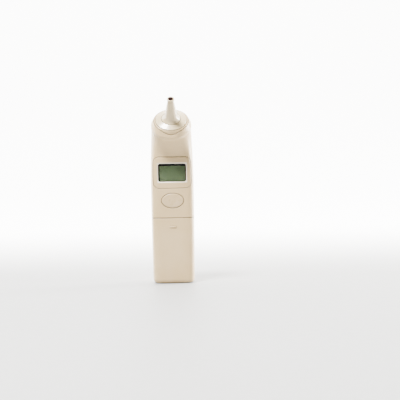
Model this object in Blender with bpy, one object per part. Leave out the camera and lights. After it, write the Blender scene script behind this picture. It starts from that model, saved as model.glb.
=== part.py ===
"""Infrared ear thermometer, modelled as an assembly of separate solids.

Frame: metres, +Z up the handle, the display faces -Y, and the origin is the
middle of the flat bottom face. The head leans forward over the display.
Run with: blender --background --python part.py
"""
import math

import bpy
from mathutils import Matrix, Vector

MM = 0.001
GAP = 0.3 * MM

# Casing: a loft along a centre line that is straight, then bends forward
WIDEST_HALF_WIDTH = 19.4 * MM
WIDEST_HEIGHT = 85.0 * MM
BASE_HALF_WIDTH = 18.7 * MM
NECK_HALF_WIDTH = 17.6 * MM
HANDLE_HALF_DEPTH = 13.0 * MM
NECK_HALF_DEPTH = 15.3 * MM
BACK_FLAT_CUT = 0.4 * MM
FRONT_POWER = 8.0
BACK_POWER = 2.7
NECK_FRONT_POWER = 3.4
NECK_BACK_POWER = 2.2
FRONT_TAPER = 0.07
NECK_FRONT_TAPER = 0.2
WALL = 1.6 * MM
BEND_START = 113.5 * MM
BEND_RADIUS = 41.0 * MM
HEAD_TILT = math.radians(41.0)
NECK_END = BEND_START + BEND_RADIUS * HEAD_TILT
HEAD_BLEND_START = 100.0 * MM
BASE_FILLET = 3.6 * MM
HALF_SECTION_STEPS = 24
NECK_STATIONS = 14
HANDLE_STATIONS = (20.0 * MM, 40.0 * MM, 65.0 * MM, 85.0 * MM, HEAD_BLEND_START)

# Battery cover
COVER_TOP = 59.3 * MM
COVER_FLOOR_BACK = -8.0 * MM
FLOOR_INSET = 4.6 * MM
GRIP_HALF_WIDTH = 3.0 * MM
GRIP_HEIGHT = 51.2 * MM
GRIP_BAR_HEIGHT = 1.2 * MM
GRIP_BAR_CORNER = 0.5 * MM
GRIP_RAISED = 0.5 * MM
COVER_LIP_REACH = 2.6 * MM

# Display
BEZEL_CENTRE = 100.0 * MM
BEZEL_SIZE = (33.6 * MM, 27.9 * MM)
BEZEL_CORNER = 5.2 * MM
BEZEL_BACK = -7.8 * MM
WINDOW_CENTRE = 99.85 * MM
WINDOW_SIZE = (25.0 * MM, 16.3 * MM)
WINDOW_CORNER = 1.8 * MM
WINDOW_FRONT = -10.9 * MM
WINDOW_BACK = -10.1 * MM
WINDOW_BORDER = 0.75 * MM
LCD_FRONT = -9.7 * MM
LCD_BACK = -7.7 * MM

# Main circuit board
BOARD_FRONT = -5.2 * MM
BOARD_BACK = -4.0 * MM
BOARD_BOTTOM = 65.3 * MM
BOARD_TOP = 117.0 * MM
BOARD_HALF_WIDTH = 13.0 * MM
PART_SEAT = BOARD_BACK + GAP

# Start button
BUTTON_CENTRE = 74.8 * MM
BUTTON_SEMI_AXES = (9.9 * MM, 6.5 * MM)
BUTTON_FLANGE_RIM = 1.1 * MM
BUTTON_CROWN = 0.5 * MM
BUTTON_FRONT = -13.45 * MM
PLUNGER_RADIUS = 1.6 * MM

# Batteries (two AAA cells, side by side)
CELL_RADIUS = 5.25 * MM
CELL_BODY = 43.5 * MM
CELL_NUB = 1.0 * MM
CELL_X = 5.9 * MM
CELL_Y = -3.0 * MM
TRAY_BOTTOM = 3.2 * MM
TRAY_TOP = 56.3 * MM
TRAY_HALF_WIDTH = 12.7 * MM
TRAY_WALL = 1.2 * MM
CONTACT_THICKNESS = 0.5 * MM
LEAD_X = 9.6 * MM

# Probe: heights are along the head's axis, from the collar's rim plane
COLLAR_HEIGHT = 3.2 * MM
RIM_RISE = 2.8 * MM
RIM_RISE_TURN = math.radians(52.0)
RIM_LEAN = 0.25
PROBE_FOOT = 7.2 * MM
PROBE_NECK = 27.5 * MM
PROBE_NECK_RADIUS = 2.9 * MM
PROBE_SLOPE = 0.165
PROBE_FLARE = 2.1 * MM
PROBE_FLARE_LENGTH = 1.8 * MM
LENS_RING_START = 28.0 * MM
TURN_STEPS = 36
COLLAR_STEPS = 48

# Flex cable: where its two edges run, to the right of the middle
FLEX_CABLE_EDGES = (3.5 * MM, 8.5 * MM)

# Screws
HOUSING_SCREW_HEIGHTS = {"housing_screw_lower": 61.9 * MM, "housing_screw_upper": 121.3 * MM}
HOUSING_SCREW_SEAT = 6.8 * MM
BOARD_SCREW_X = 11.5 * MM
BOARD_SCREW_Z = 68.6 * MM


# ---------------------------------------------------------------- helpers

def clear_scene():
    """Remove every object that the file opened with."""
    for item in list(bpy.data.objects):
        bpy.data.objects.remove(item, do_unlink=True)


def material(name, red, green, blue, roughness, metallic=0.0):
    """One Principled material."""
    made = bpy.data.materials.new(name)
    made.use_nodes = True
    shader = made.node_tree.nodes["Principled BSDF"]
    shader.inputs["Base Color"].default_value = (red, green, blue, 1.0)
    shader.inputs["Roughness"].default_value = roughness
    shader.inputs["Metallic"].default_value = metallic
    return made


def place(name, data, look=None, smooth=True):
    """Link a mesh or curve as a named object with its material."""
    item = bpy.data.objects.new(name, data)
    bpy.context.scene.collection.objects.link(item)
    if look is not None:
        data.materials.append(look)
    if smooth and item.type == "MESH":
        data.shade_smooth()
        data.set_sharp_from_angle(angle=math.radians(35.0))
    return item


def loft(name, rings, look=None, smooth=True):
    """Closed solid through rings of points, each ring going round the same way, with flat ends."""
    count = len(rings[0])
    points = [point for ring in rings for point in ring]
    faces = []
    for row in range(len(rings) - 1):
        for column in range(count):
            after = (column + 1) % count
            low = row * count
            high = low + count
            faces.append((low + column, low + after, high + after, high + column))
    faces.append(tuple(reversed(range(count))))
    faces.append(tuple(range(len(points) - count, len(points))))
    data = bpy.data.meshes.new(name)
    data.from_pydata([tuple(point) for point in points], [], faces)
    outward(data)
    return place(name, data, look, smooth)


def outward(data):
    """Turn a closed mesh's faces outwards, judged by its signed volume."""
    volume = 0.0
    for polygon in data.polygons:
        corners = [data.vertices[index].co for index in polygon.vertices]
        for second, third in zip(corners[1:-1], corners[2:]):
            volume += corners[0].dot(second.cross(third))
    if volume < 0.0:
        data.flip_normals()
    data.update()


def box(name, low, high, look=None):
    """Block between two opposite corners."""
    ring = [(low[0], low[1]), (high[0], low[1]), (high[0], high[1]), (low[0], high[1])]
    rings = [[Vector((x, y, z)) for x, y in ring] for z in (low[2], high[2])]
    return loft(name, rings, look, smooth=False)


def prism_y(name, outline, front, back, look=None):
    """Outline in X and Z, carried along Y from front to back."""
    rings = [[Vector((x, y, z)) for x, z in outline] for y in (front, back)]
    return loft(name, rings, look)


def oval(centre_z, semi_x, semi_z, steps=40):
    """Ellipse in X and Z about the front's middle line."""
    turns = [2.0 * math.pi * step / steps for step in range(steps)]
    return [(semi_x * math.cos(turn), centre_z + semi_z * math.sin(turn)) for turn in turns]


def round_rectangle(centre_z, width, height, corner, steps=6):
    """Rectangle in X and Z with arcs for corners."""
    outline = []
    for quarter, (side_x, side_z) in enumerate(((1, 1), (-1, 1), (-1, -1), (1, -1))):
        middle_x = side_x * (width / 2.0 - corner)
        middle_z = centre_z + side_z * (height / 2.0 - corner)
        for step in range(steps + 1):
            turn = math.pi / 2.0 * (quarter + step / steps)
            outline.append((middle_x + corner * math.cos(turn), middle_z + corner * math.sin(turn)))
    return outline


def rod_y(name, x, z, radius, front, back, look=None, steps=24):
    """Round bar along Y."""
    turns = [2.0 * math.pi * step / steps for step in range(steps)]
    outline = [(x + radius * math.cos(turn), z + radius * math.sin(turn)) for turn in turns]
    return prism_y(name, outline, front, back, look)


def boolean(target, operand, operation):
    """Cut, join or intersect target with operand, which becomes a guide."""
    operand.hide_render = True
    operand.display_type = "WIRE"
    step = target.modifiers.new(operand.name, "BOOLEAN")
    step.operation = operation
    step.solver = "EXACT"
    step.object = operand


def blend(value, start, end):
    """0 before start, 1 after end, with an even rise between."""
    share = min(max((value - start) / (end - start), 0.0), 1.0)
    return share * share * (3.0 - 2.0 * share)


def mix(first, second, share):
    """Value part of the way from first to second."""
    return first + (second - first) * share


# ---------------------------------------------------------------- casing

def spine_frame(travel):
    """Point on the casing's centre line, and the direction in which its back faces there."""
    turn = max(travel - BEND_START, 0.0) / BEND_RADIUS
    middle = Vector((0.0, -BEND_RADIUS * (1.0 - math.cos(turn)),
                     min(travel, BEND_START) + BEND_RADIUS * math.sin(turn)))
    return middle, Vector((0.0, math.cos(turn), math.sin(turn)))


def casing_half_width(travel):
    """Half of the casing's width: widest beside the button, and drawn in along a curve to both ends."""
    if travel < WIDEST_HEIGHT:
        away = (WIDEST_HEIGHT - travel) / WIDEST_HEIGHT
        return mix(WIDEST_HALF_WIDTH, BASE_HALF_WIDTH, away ** 2)
    away = (travel - WIDEST_HEIGHT) / (NECK_END - WIDEST_HEIGHT)
    return mix(WIDEST_HALF_WIDTH, NECK_HALF_WIDTH, away ** 2)


def section_point(travel, angle, inset, high=1.0):
    """Point on the casing's section: a superellipse, squarer and narrower towards the front.

    angle is 0 at +X and a quarter turn at the back. high limits how far back the point lies.
    """
    head = blend(travel, HEAD_BLEND_START, NECK_END)
    half_width = casing_half_width(travel) - inset
    half_depth = mix(HANDLE_HALF_DEPTH, NECK_HALF_DEPTH, head) - inset
    across = math.cos(angle)
    along = math.sin(angle)
    powers = (FRONT_POWER, NECK_FRONT_POWER) if along < 0.0 else (BACK_POWER, NECK_BACK_POWER)
    power = mix(powers[0], powers[1], head)
    x = math.copysign(half_width * abs(across) ** (2.0 / power), across)
    depth = math.copysign(half_depth * abs(along) ** (2.0 / power), along)
    if along < 0.0:
        x *= 1.0 - mix(FRONT_TAPER, NECK_FRONT_TAPER, head) * (depth / half_depth) ** 2
    else:
        depth = min(depth, half_depth - mix(BACK_FLAT_CUT, 0.0, head))
    middle, back = spine_frame(travel)
    return middle + Vector((x, 0.0, 0.0)) + back * min(depth, high)


def casing_stations(start, end):
    """Distances along the centre line, close together where the casing bends."""
    stations = [start]
    stations.extend(height for height in HANDLE_STATIONS if start < height < end)
    if end > HEAD_BLEND_START:
        bend = [mix(HEAD_BLEND_START, NECK_END, (step + 1) / NECK_STATIONS)
                for step in range(NECK_STATIONS)]
        stations.extend(station for station in bend if start < station < end)
    stations.append(end)
    return stations


def half_turn(first):
    """Angles across half of the section."""
    return [first + math.pi * step / HALF_SECTION_STEPS for step in range(HALF_SECTION_STEPS + 1)]


def full_turn():
    """Angles round the whole section."""
    steps = 2 * HALF_SECTION_STEPS
    return [2.0 * math.pi * step / steps for step in range(steps)]


def base_levels(start, end):
    """Stations with how far the outline is drawn in: a rounded edge where the casing meets its base."""
    levels = [(station, 0.0) for station in casing_stations(start, end)]
    if start == 0.0:
        turns = [math.pi / 2.0 * step / 4 for step in range(5)]
        rounded = [(BASE_FILLET * (1.0 - math.cos(turn)), BASE_FILLET * (1.0 - math.sin(turn)))
                   for turn in turns]
        levels = rounded + levels[1:]
    return levels


def front_casing(name, start, end, look):
    """Solid front half of the casing between two stations, a gap short of the parting plane."""
    rings = [[section_point(station, angle, inset, high=-GAP) for angle in half_turn(math.pi)]
             for station, inset in base_levels(start, end)]
    return loft(name, rings, look)


def casing_core(name, inset, start, end, angles=None):
    """Solid of the casing's section, drawn in by inset: its hollow, or a guide for a cut."""
    rings = [[section_point(station, angle, inset) for angle in angles or full_turn()]
             for station in casing_stations(start, end)]
    return loft(name, rings)


def bezel_prism(name, clearance):
    """Block that parts the bezel from the front housing, grown by clearance all round."""
    width, height = BEZEL_SIZE
    outline = round_rectangle(BEZEL_CENTRE, width + 2.0 * clearance, height + 2.0 * clearance,
                              BEZEL_CORNER + clearance)
    return prism_y(name, outline, -20.0 * MM, BEZEL_BACK + clearance)


def front_housing(look):
    """Upper front shell: openings for the bezel and button, posts for the board and bosses."""
    shell = front_casing("front_housing", COVER_TOP + GAP / 2.0, NECK_END - GAP / 2.0, look)
    boolean(shell, casing_core("front_hollow", WALL, 50.0 * MM, NECK_END + 4.0 * MM), "DIFFERENCE")
    boolean(shell, bezel_prism("bezel_opening", GAP), "DIFFERENCE")
    semi_x, semi_z = BUTTON_SEMI_AXES
    opening = prism_y("button_opening", oval(BUTTON_CENTRE, semi_x + GAP, semi_z + GAP),
                      -20.0 * MM, -9.0 * MM)
    boolean(shell, opening, "DIFFERENCE")
    for side, label in ((-1.0, "left"), (1.0, "right")):
        post = rod_y("board_post_" + label, side * BOARD_SCREW_X, BOARD_SCREW_Z, 2.0 * MM,
                     -11.7 * MM, BOARD_FRONT - GAP)
        pilot = rod_y("board_pilot_" + label, side * BOARD_SCREW_X, BOARD_SCREW_Z, 1.1 * MM,
                      -9.4 * MM, 0.0, steps=16)
        boolean(shell, post, "UNION")
        boolean(shell, pilot, "DIFFERENCE")
    for name, height in HOUSING_SCREW_HEIGHTS.items():
        wall_middle = section_point(height, 1.5 * math.pi, WALL / 2.0).y
        boss = rod_y(name + "_front_boss", 0.0, height, 2.6 * MM, wall_middle, 1.0 * MM)
        pilot = rod_y(name + "_pilot", 0.0, height, 1.4 * MM, -6.0 * MM, 5.0 * MM, steps=16)
        boolean(shell, boss, "UNION")
        boolean(shell, pilot, "DIFFERENCE")
    return shell


def rear_housing(look):
    """Back shell with the bottom wall's tongue and two counterbored screw bosses."""
    rings = [[section_point(station, angle, inset) for angle in full_turn()]
             for station, inset in base_levels(0.0, NECK_END - GAP / 2.0)]
    shell = loft("rear_housing", rings, look)
    boolean(shell, casing_core("rear_hollow", WALL, WALL, NECK_END + 4.0 * MM), "DIFFERENCE")
    front_half = casing_core("rear_front_half", -2.0 * MM, -5.0 * MM, NECK_END + 5.0 * MM,
                             half_turn(math.pi))
    tongue = casing_core("bottom_tongue", FLOOR_INSET + GAP, -6.0 * MM, WALL + 1.0 * MM)
    tongue_limit = box("bottom_tongue_limit", (-0.1, COVER_FLOOR_BACK + GAP / 2.0, -0.1), (0.1, 0.1, 0.1))
    boolean(tongue, tongue_limit, "INTERSECT")
    boolean(front_half, tongue, "DIFFERENCE")
    boolean(shell, front_half, "DIFFERENCE")
    for name, height in HOUSING_SCREW_HEIGHTS.items():
        wall_middle = section_point(height, 0.5 * math.pi, WALL / 2.0).y
        boss = rod_y(name + "_rear_boss", 0.0, height, 3.6 * MM, 1.3 * MM, wall_middle)
        bore = rod_y(name + "_bore", 0.0, height, 1.5 * MM, 0.0, 20.0 * MM, steps=16)
        seat = rod_y(name + "_seat", 0.0, height, 2.6 * MM, HOUSING_SCREW_SEAT, 20.0 * MM)
        boolean(shell, boss, "UNION")
        boolean(shell, bore, "DIFFERENCE")
        boolean(shell, seat, "DIFFERENCE")
    return shell


def battery_cover(look):
    """Lower front shell that slides off downwards: floor lip, top tongue and grip bar."""
    shell = front_casing("battery_cover", 0.0, COVER_TOP - GAP / 2.0, look)
    boolean(shell, casing_core("cover_hollow", WALL, WALL, 80.0 * MM), "DIFFERENCE")
    floor_half_width = BASE_HALF_WIDTH - FLOOR_INSET
    floor_limit = box("cover_floor_limit", (-floor_half_width, COVER_FLOOR_BACK - GAP / 2.0, -5.0 * MM),
                      (floor_half_width, 5.0 * MM, 3.0 * MM))
    boolean(shell, floor_limit, "DIFFERENCE")
    tongue = box("cover_tongue", (-10.0 * MM, -11.7 * MM, 50.0 * MM),
                 (10.0 * MM, -10.3 * MM, COVER_TOP - 1.0 * MM))
    boolean(shell, tongue, "UNION")
    for label, left in (("left", -9.0 * MM), ("right", 4.0 * MM)):
        lip = box("cover_lip_" + label, (left, -10.9 * MM, 55.0 * MM),
                  (left + 5.0 * MM, -9.9 * MM, COVER_TOP + COVER_LIP_REACH))
        boolean(shell, lip, "UNION")
    bar = round_rectangle(GRIP_HEIGHT, 2.0 * GRIP_HALF_WIDTH, GRIP_BAR_HEIGHT, GRIP_BAR_CORNER, 3)
    grip = prism_y("cover_grip_bar", bar, -HANDLE_HALF_DEPTH - GRIP_RAISED, -HANDLE_HALF_DEPTH + WALL / 2.0)
    boolean(shell, grip, "UNION")
    return shell


# ---------------------------------------------------------------- display

def display_bezel(look):
    """Piece of the front surface inside the groove, with the window opening and its pocket."""
    frame = front_casing("display_bezel", 80.0 * MM, 118.0 * MM, look)
    boolean(frame, casing_core("bezel_hollow", WALL, 75.0 * MM, 125.0 * MM), "DIFFERENCE")
    boolean(frame, bezel_prism("bezel_edge", 0.0), "INTERSECT")
    width, height = WINDOW_SIZE
    opening = prism_y("window_opening", round_rectangle(WINDOW_CENTRE, width, height, WINDOW_CORNER),
                      -20.0 * MM, -5.0 * MM)
    boolean(frame, opening, "DIFFERENCE")
    reach_x = width / 2.0 + WINDOW_BORDER + GAP
    reach_z = height / 2.0 + WINDOW_BORDER + GAP
    pocket = box("window_pocket", (-reach_x, WINDOW_FRONT - GAP, WINDOW_CENTRE - reach_z),
                 (reach_x, -5.0 * MM, WINDOW_CENTRE + reach_z))
    boolean(frame, pocket, "DIFFERENCE")
    return frame


def display_window(look):
    """Clear plate in the bezel's pocket."""
    width, height = WINDOW_SIZE
    outline = round_rectangle(WINDOW_CENTRE, width + 2.0 * WINDOW_BORDER, height + 2.0 * WINDOW_BORDER,
                              0.8 * MM, 3)
    return prism_y("display_window", outline, WINDOW_FRONT, WINDOW_BACK, look)


def lcd_stack(glass, frame_look, rubber):
    """LCD panel, the frame behind it and the two elastomer strips that join it to the board."""
    panel = round_rectangle(WINDOW_CENTRE, 26.0 * MM, 20.0 * MM, 0.3 * MM, 1)
    prism_y("lcd_panel", panel, LCD_FRONT, LCD_BACK, glass)
    holder = box("lcd_holder", (-13.6 * MM, LCD_BACK + 0.4 * MM, WINDOW_CENTRE - 11.5 * MM),
                 (13.6 * MM, BOARD_FRONT - GAP, WINDOW_CENTRE + 11.5 * MM), frame_look)
    opening = box("lcd_holder_opening", (-11.8 * MM, -20.0 * MM, WINDOW_CENTRE - 9.8 * MM),
                  (11.8 * MM, 20.0 * MM, WINDOW_CENTRE + 9.8 * MM))
    boolean(holder, opening, "DIFFERENCE")
    for name, middle in (("zebra_connector_lower", WINDOW_CENTRE - 8.6 * MM),
                         ("zebra_connector_upper", WINDOW_CENTRE + 8.6 * MM)):
        box(name, (-11.0 * MM, LCD_BACK + GAP, middle - 0.85 * MM),
            (11.0 * MM, BOARD_FRONT - GAP, middle + 0.85 * MM), rubber)


# ---------------------------------------------------------------- electronics

def main_circuit_board(look):
    """Board behind the display and button, with two screw holes."""
    outline = round_rectangle((BOARD_BOTTOM + BOARD_TOP) / 2.0, 2.0 * BOARD_HALF_WIDTH,
                              BOARD_TOP - BOARD_BOTTOM, 1.5 * MM, 3)
    board = prism_y("main_circuit_board", outline, BOARD_FRONT, BOARD_BACK, look)
    for side, label in ((-1.0, "left"), (1.0, "right")):
        hole = rod_y("board_hole_" + label, side * BOARD_SCREW_X, BOARD_SCREW_Z, 1.15 * MM,
                     -9.0 * MM, 0.0, steps=16)
        boolean(board, hole, "DIFFERENCE")


def board_parts(black, tin, aluminium, ceramic):
    """Parts soldered to the back of the main board."""
    chips = (("microcontroller_chip", (-5.0, 92.0), (5.0, 102.0), 1.5),
             ("memory_chip", (-10.5, 84.0), (-5.5, 88.0), 1.4))
    for name, low, high, thick in chips:
        box(name, (low[0] * MM, PART_SEAT, low[1] * MM),
            (high[0] * MM, PART_SEAT + thick * MM, high[1] * MM), black)
    can = round_rectangle(86.0 * MM, 4.6 * MM, 10.0 * MM, 2.2 * MM, 5)
    prism_y("crystal_can", [(x + 8.6 * MM, z) for x, z in can], PART_SEAT, PART_SEAT + 3.4 * MM, tin)
    rod_y("smoothing_capacitor", 9.0 * MM, 75.0 * MM, 2.3 * MM, PART_SEAT, PART_SEAT + 5.4 * MM, aluminium)
    rod_y("buzzer", 0.0, 77.5 * MM, 6.5 * MM, PART_SEAT, PART_SEAT + 2.6 * MM, black, steps=36)
    box("flex_connector", (1.6 * MM, PART_SEAT, BOARD_TOP - 5.2 * MM),
        (10.4 * MM, PART_SEAT + 2.0 * MM, BOARD_TOP - 1.8 * MM), ceramic)


def board_screws(steel):
    """Two screws that hold the board to the front housing's posts, heads at the back."""
    for side, label in ((-1.0, "left"), (1.0, "right")):
        screw = rod_y("board_screw_" + label, side * BOARD_SCREW_X, BOARD_SCREW_Z, 0.8 * MM,
                      -8.9 * MM, PART_SEAT + 0.5 * MM, steel, steps=16)
        head = rod_y("board_screw_head_" + label, side * BOARD_SCREW_X, BOARD_SCREW_Z, 1.7 * MM,
                     PART_SEAT, PART_SEAT + 1.1 * MM, steps=20)
        boolean(screw, head, "UNION")


def housing_screws(steel):
    """Two screws from the back that hold the two housings together."""
    for name, height in HOUSING_SCREW_HEIGHTS.items():
        screw = rod_y(name, 0.0, height, 1.1 * MM, -5.4 * MM, HOUSING_SCREW_SEAT + 1.0 * MM, steel, steps=16)
        head = rod_y(name + "_head", 0.0, height, 2.2 * MM, HOUSING_SCREW_SEAT + GAP,
                     HOUSING_SCREW_SEAT + 1.9 * MM)
        boolean(screw, head, "UNION")


# ---------------------------------------------------------------- start button

def start_button(look):
    """Oval button with a crowned face, a flange that keeps it in, and a post for the switch."""
    semi_x, semi_z = BUTTON_SEMI_AXES
    levels = []
    for step in range(4):
        turn = math.pi / 2.0 * step / 3
        drop = BUTTON_CROWN * (1.0 - math.sin(turn))
        inset = 1.2 * MM * (1.0 - math.cos(turn))
        levels.append((BUTTON_FRONT - BUTTON_CROWN + drop, inset))
    levels.reverse()
    levels.append((-10.2 * MM, 0.0))
    rings = [[Vector((x, y, z)) for x, z in oval(BUTTON_CENTRE, semi_x - inset, semi_z - inset)]
             for y, inset in levels]
    button = loft("start_button", rings, look)
    rim = oval(BUTTON_CENTRE, semi_x + BUTTON_FLANGE_RIM, semi_z + BUTTON_FLANGE_RIM)
    flange = prism_y("button_flange", rim, -10.7 * MM, -9.95 * MM)
    post = rod_y("button_post", 0.0, BUTTON_CENTRE, 1.8 * MM, -10.3 * MM, -9.8 * MM, steps=20)
    boolean(button, flange, "UNION")
    boolean(button, post, "UNION")


def tact_switch(black, grey):
    """Switch on the front of the board: a square body and the plunger that the button pushes."""
    body = box("tact_switch_body", (-3.1 * MM, -8.3 * MM, BUTTON_CENTRE - 3.1 * MM),
               (3.1 * MM, BOARD_FRONT - GAP, BUTTON_CENTRE + 3.1 * MM), black)
    well = rod_y("tact_switch_well", 0.0, BUTTON_CENTRE, PLUNGER_RADIUS + GAP, -10.0 * MM, -6.5 * MM)
    boolean(body, well, "DIFFERENCE")
    rod_y("tact_switch_plunger", 0.0, BUTTON_CENTRE, PLUNGER_RADIUS, -9.5 * MM, -7.7 * MM, grey)


# ---------------------------------------------------------------- batteries

def upright(profile, x, y, steps):
    """Rings of a turned solid that stands at x, y: one ring for each radius and height."""
    turns = [2.0 * math.pi * step / steps for step in range(steps)]
    return [[Vector((x + radius * math.cos(turn), y + radius * math.sin(turn), z)) for turn in turns]
            for radius, z in profile]


def battery_cells(look):
    """Two AAA cells, the left one with its nub up and the right one with its nub down."""
    start = 9.2 * MM
    profile = [(4.9 * MM, 0.0), (CELL_RADIUS, 0.5 * MM), (CELL_RADIUS, CELL_BODY - 0.7 * MM),
               (4.6 * MM, CELL_BODY), (1.9 * MM, CELL_BODY), (1.9 * MM, CELL_BODY + CELL_NUB)]
    left = [(radius, start + rise) for radius, rise in profile]
    total = TRAY_BOTTOM + TRAY_TOP
    right = [(radius, total - start - rise) for radius, rise in profile]
    loft("battery_cell_left", upright(left, -CELL_X, CELL_Y, 30), look)
    loft("battery_cell_right", upright(right, CELL_X, CELL_Y, 30), look)


def battery_tray(look):
    """Cradle behind the cells: back plate, side and end walls, two ribs to the rear housing."""
    back = 3.9 * MM
    front = -7.6 * MM
    tray = box("battery_tray", (-TRAY_HALF_WIDTH, front, TRAY_BOTTOM),
               (TRAY_HALF_WIDTH, back, TRAY_TOP), look)
    inner = TRAY_HALF_WIDTH - TRAY_WALL
    hollow = box("battery_tray_hollow", (-inner, -20.0 * MM, TRAY_BOTTOM + TRAY_WALL),
                 (inner, back - TRAY_WALL, TRAY_TOP - TRAY_WALL))
    boolean(tray, hollow, "DIFFERENCE")
    for side, label in ((-1.0, "left"), (1.0, "right")):
        rib = box("battery_tray_rib_" + label, (side * 7.0 * MM - 0.7 * MM, back - 0.6 * MM, 10.0 * MM),
                  (side * 7.0 * MM + 0.7 * MM, 10.4 * MM, 50.0 * MM))
        notch = box("battery_lead_notch_" + label,
                    (side * LEAD_X - 0.9 * MM, -0.5 * MM, TRAY_TOP - 3.0 * MM),
                    (side * LEAD_X + 0.9 * MM, 1.6 * MM, TRAY_TOP + 3.0 * MM))
        boolean(tray, rib, "UNION")
        boolean(tray, notch, "DIFFERENCE")


def wire(name, points, radius, look):
    """Round wire through points."""
    curve = bpy.data.curves.new(name, "CURVE")
    curve.dimensions = "3D"
    curve.bevel_depth = radius
    curve.bevel_resolution = 1
    curve.use_fill_caps = True
    spline = curve.splines.new("POLY")
    spline.points.add(len(points) - 1)
    for place_holder, point in zip(spline.points, points):
        place_holder.co = (*point, 1.0)
    return place(name, curve, look)


def battery_contacts(tin):
    """Bridge at the bottom, a plate for each cell at the top, and a spring at each flat cell end."""
    low = TRAY_BOTTOM + TRAY_WALL + GAP
    high = TRAY_TOP - TRAY_WALL - GAP
    plates = (("battery_bridge_contact", -10.6, 10.6, low), ("battery_contact_positive", -10.6, -1.0, high),
              ("battery_contact_negative", 1.0, 10.6, high))
    for name, left, right, level in plates:
        bottom = level if level == low else level - CONTACT_THICKNESS
        box(name, (left * MM, -6.8 * MM, bottom), (right * MM, 1.2 * MM, bottom + CONTACT_THICKNESS), tin)
    springs = (("battery_spring_lower", -CELL_X, low + CONTACT_THICKNESS + 0.6 * MM, 1.0),
               ("battery_spring_upper", CELL_X, high - CONTACT_THICKNESS - 0.6 * MM, -1.0))
    steps = 34
    for name, x, seat, up in springs:
        points = []
        for step in range(steps):
            share = step / (steps - 1)
            turn = 2.0 * math.pi * 2.6 * share
            radius = mix(3.4 * MM, 2.2 * MM, share)
            points.append((x + radius * math.cos(turn), CELL_Y + radius * math.sin(turn),
                           seat + up * share * 2.7 * MM))
        wire(name, points, 0.27 * MM, tin)


def battery_leads(red, black):
    """Two leads from the top contacts, through the tray's notches, to the main board."""
    start = TRAY_TOP - TRAY_WALL + 0.15 * MM
    for name, side, look in (("battery_lead_positive", -1.0, red), ("battery_lead_negative", 1.0, black)):
        route = [(9.6, 0.5, 0.0), (9.6, 0.6, 4.0), (9.3, 0.9, 7.0), (8.4, 0.8, 9.6), (7.6, -0.2, 11.4),
                 (7.2, -1.6, 12.4), (7.0, -3.3, 12.8)]
        points = [(side * x * MM, y * MM, start + rise * MM) for x, y, rise in route]
        wire(name, points, 0.5 * MM, look)


# ---------------------------------------------------------------- probe

def head_matrix():
    """Placement of the head: the rim plane's centre, with local Z along the probe."""
    middle, _ = spine_frame(NECK_END)
    axis = Vector((0.0, -math.sin(HEAD_TILT), math.cos(HEAD_TILT)))
    return Matrix.Translation(middle + axis * COLLAR_HEIGHT) @ Matrix.Rotation(HEAD_TILT, 4, "X")


def turned(name, profile, look=None, steps=TURN_STEPS, hollow=True):
    """Solid turned about the head's axis.

    profile is a list of (radius, height), or a function that gives one for each angle. A hollow
    solid's is a closed loop; a full one's runs from the bottom face to the top face.
    """
    points = []
    for step in range(steps):
        turn = 2.0 * math.pi * step / steps
        loop = profile(turn) if callable(profile) else profile
        points.extend((radius * math.cos(turn), radius * math.sin(turn), height) for radius, height in loop)
    count = len(loop)
    faces = []
    for step in range(steps):
        here = step * count
        there = ((step + 1) % steps) * count
        for row in range(count if hollow else count - 1):
            after = (row + 1) % count
            faces.append((here + row, there + row, there + after, here + after))
    if not hollow:
        faces.append(tuple(step * count for step in reversed(range(steps))))
        faces.append(tuple((step + 1) * count - 1 for step in range(steps)))
    data = bpy.data.meshes.new(name)
    data.from_pydata(points, [], faces)
    outward(data)
    item = place(name, data, look)
    item.matrix_world = head_matrix()
    return item


def in_mm(profile):
    """Profile given in millimetres, in metres."""
    return [(radius * MM, height * MM) for radius, height in profile]


def nozzle_radius(height):
    """Outer radius of the nozzle: a slim cone that flares out to its foot."""
    flare = PROBE_FLARE * math.exp(-(height - PROBE_FOOT) / PROBE_FLARE_LENGTH)
    return PROBE_NECK_RADIUS + PROBE_SLOPE * (PROBE_NECK - height) + flare


def probe_nozzle(look):
    """Hollow tapered nozzle with a flange that the base plate holds down."""
    steps = 12
    outside = []
    for step in range(steps + 1):
        height = mix(PROBE_FOOT, LENS_RING_START - GAP, (step / steps) ** 1.6)
        outside.append((nozzle_radius(height), height))
    profile = in_mm([(5.4, 4.9), (9.9, 4.9), (9.9, 5.7), (8.3, 5.7)])
    profile += outside
    profile += [(2.3 * MM, LENS_RING_START - GAP)]
    profile += in_mm([(2.3, 10.6), (5.4, 8.6)])
    turned("probe_nozzle", profile, look)


def probe_optics(plastic, lens, gold):
    """Ring and lens in the tip, and the gold-plated tube down to the sensor."""
    ring = in_mm([(2.35, 28.0), (3.2, 28.0), (3.2, 29.5), (3.1, 29.8), (2.9, 30.0),
                  (2.6, 29.95), (2.35, 29.6)])
    turned("probe_lens_ring", ring, plastic)
    turned("probe_lens", in_mm([(2.0, 28.8), (2.0, 29.2)]), lens, hollow=False)
    turned("waveguide_tube", in_mm([(1.5, 8.1), (1.9, 8.1), (1.9, 28.5), (1.5, 28.5)]), gold, steps=24)


def rim_rise(turn):
    """How far the collar's top edge stands above its lowest point, at the front: a blunt V there."""
    away = abs((turn + math.pi / 2.0 + math.pi) % (2.0 * math.pi) - math.pi)
    share = min(away / RIM_RISE_TURN, 1.0) ** 1.25
    return RIM_RISE * share * (1.5 - 0.5 * share ** 2)


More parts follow.
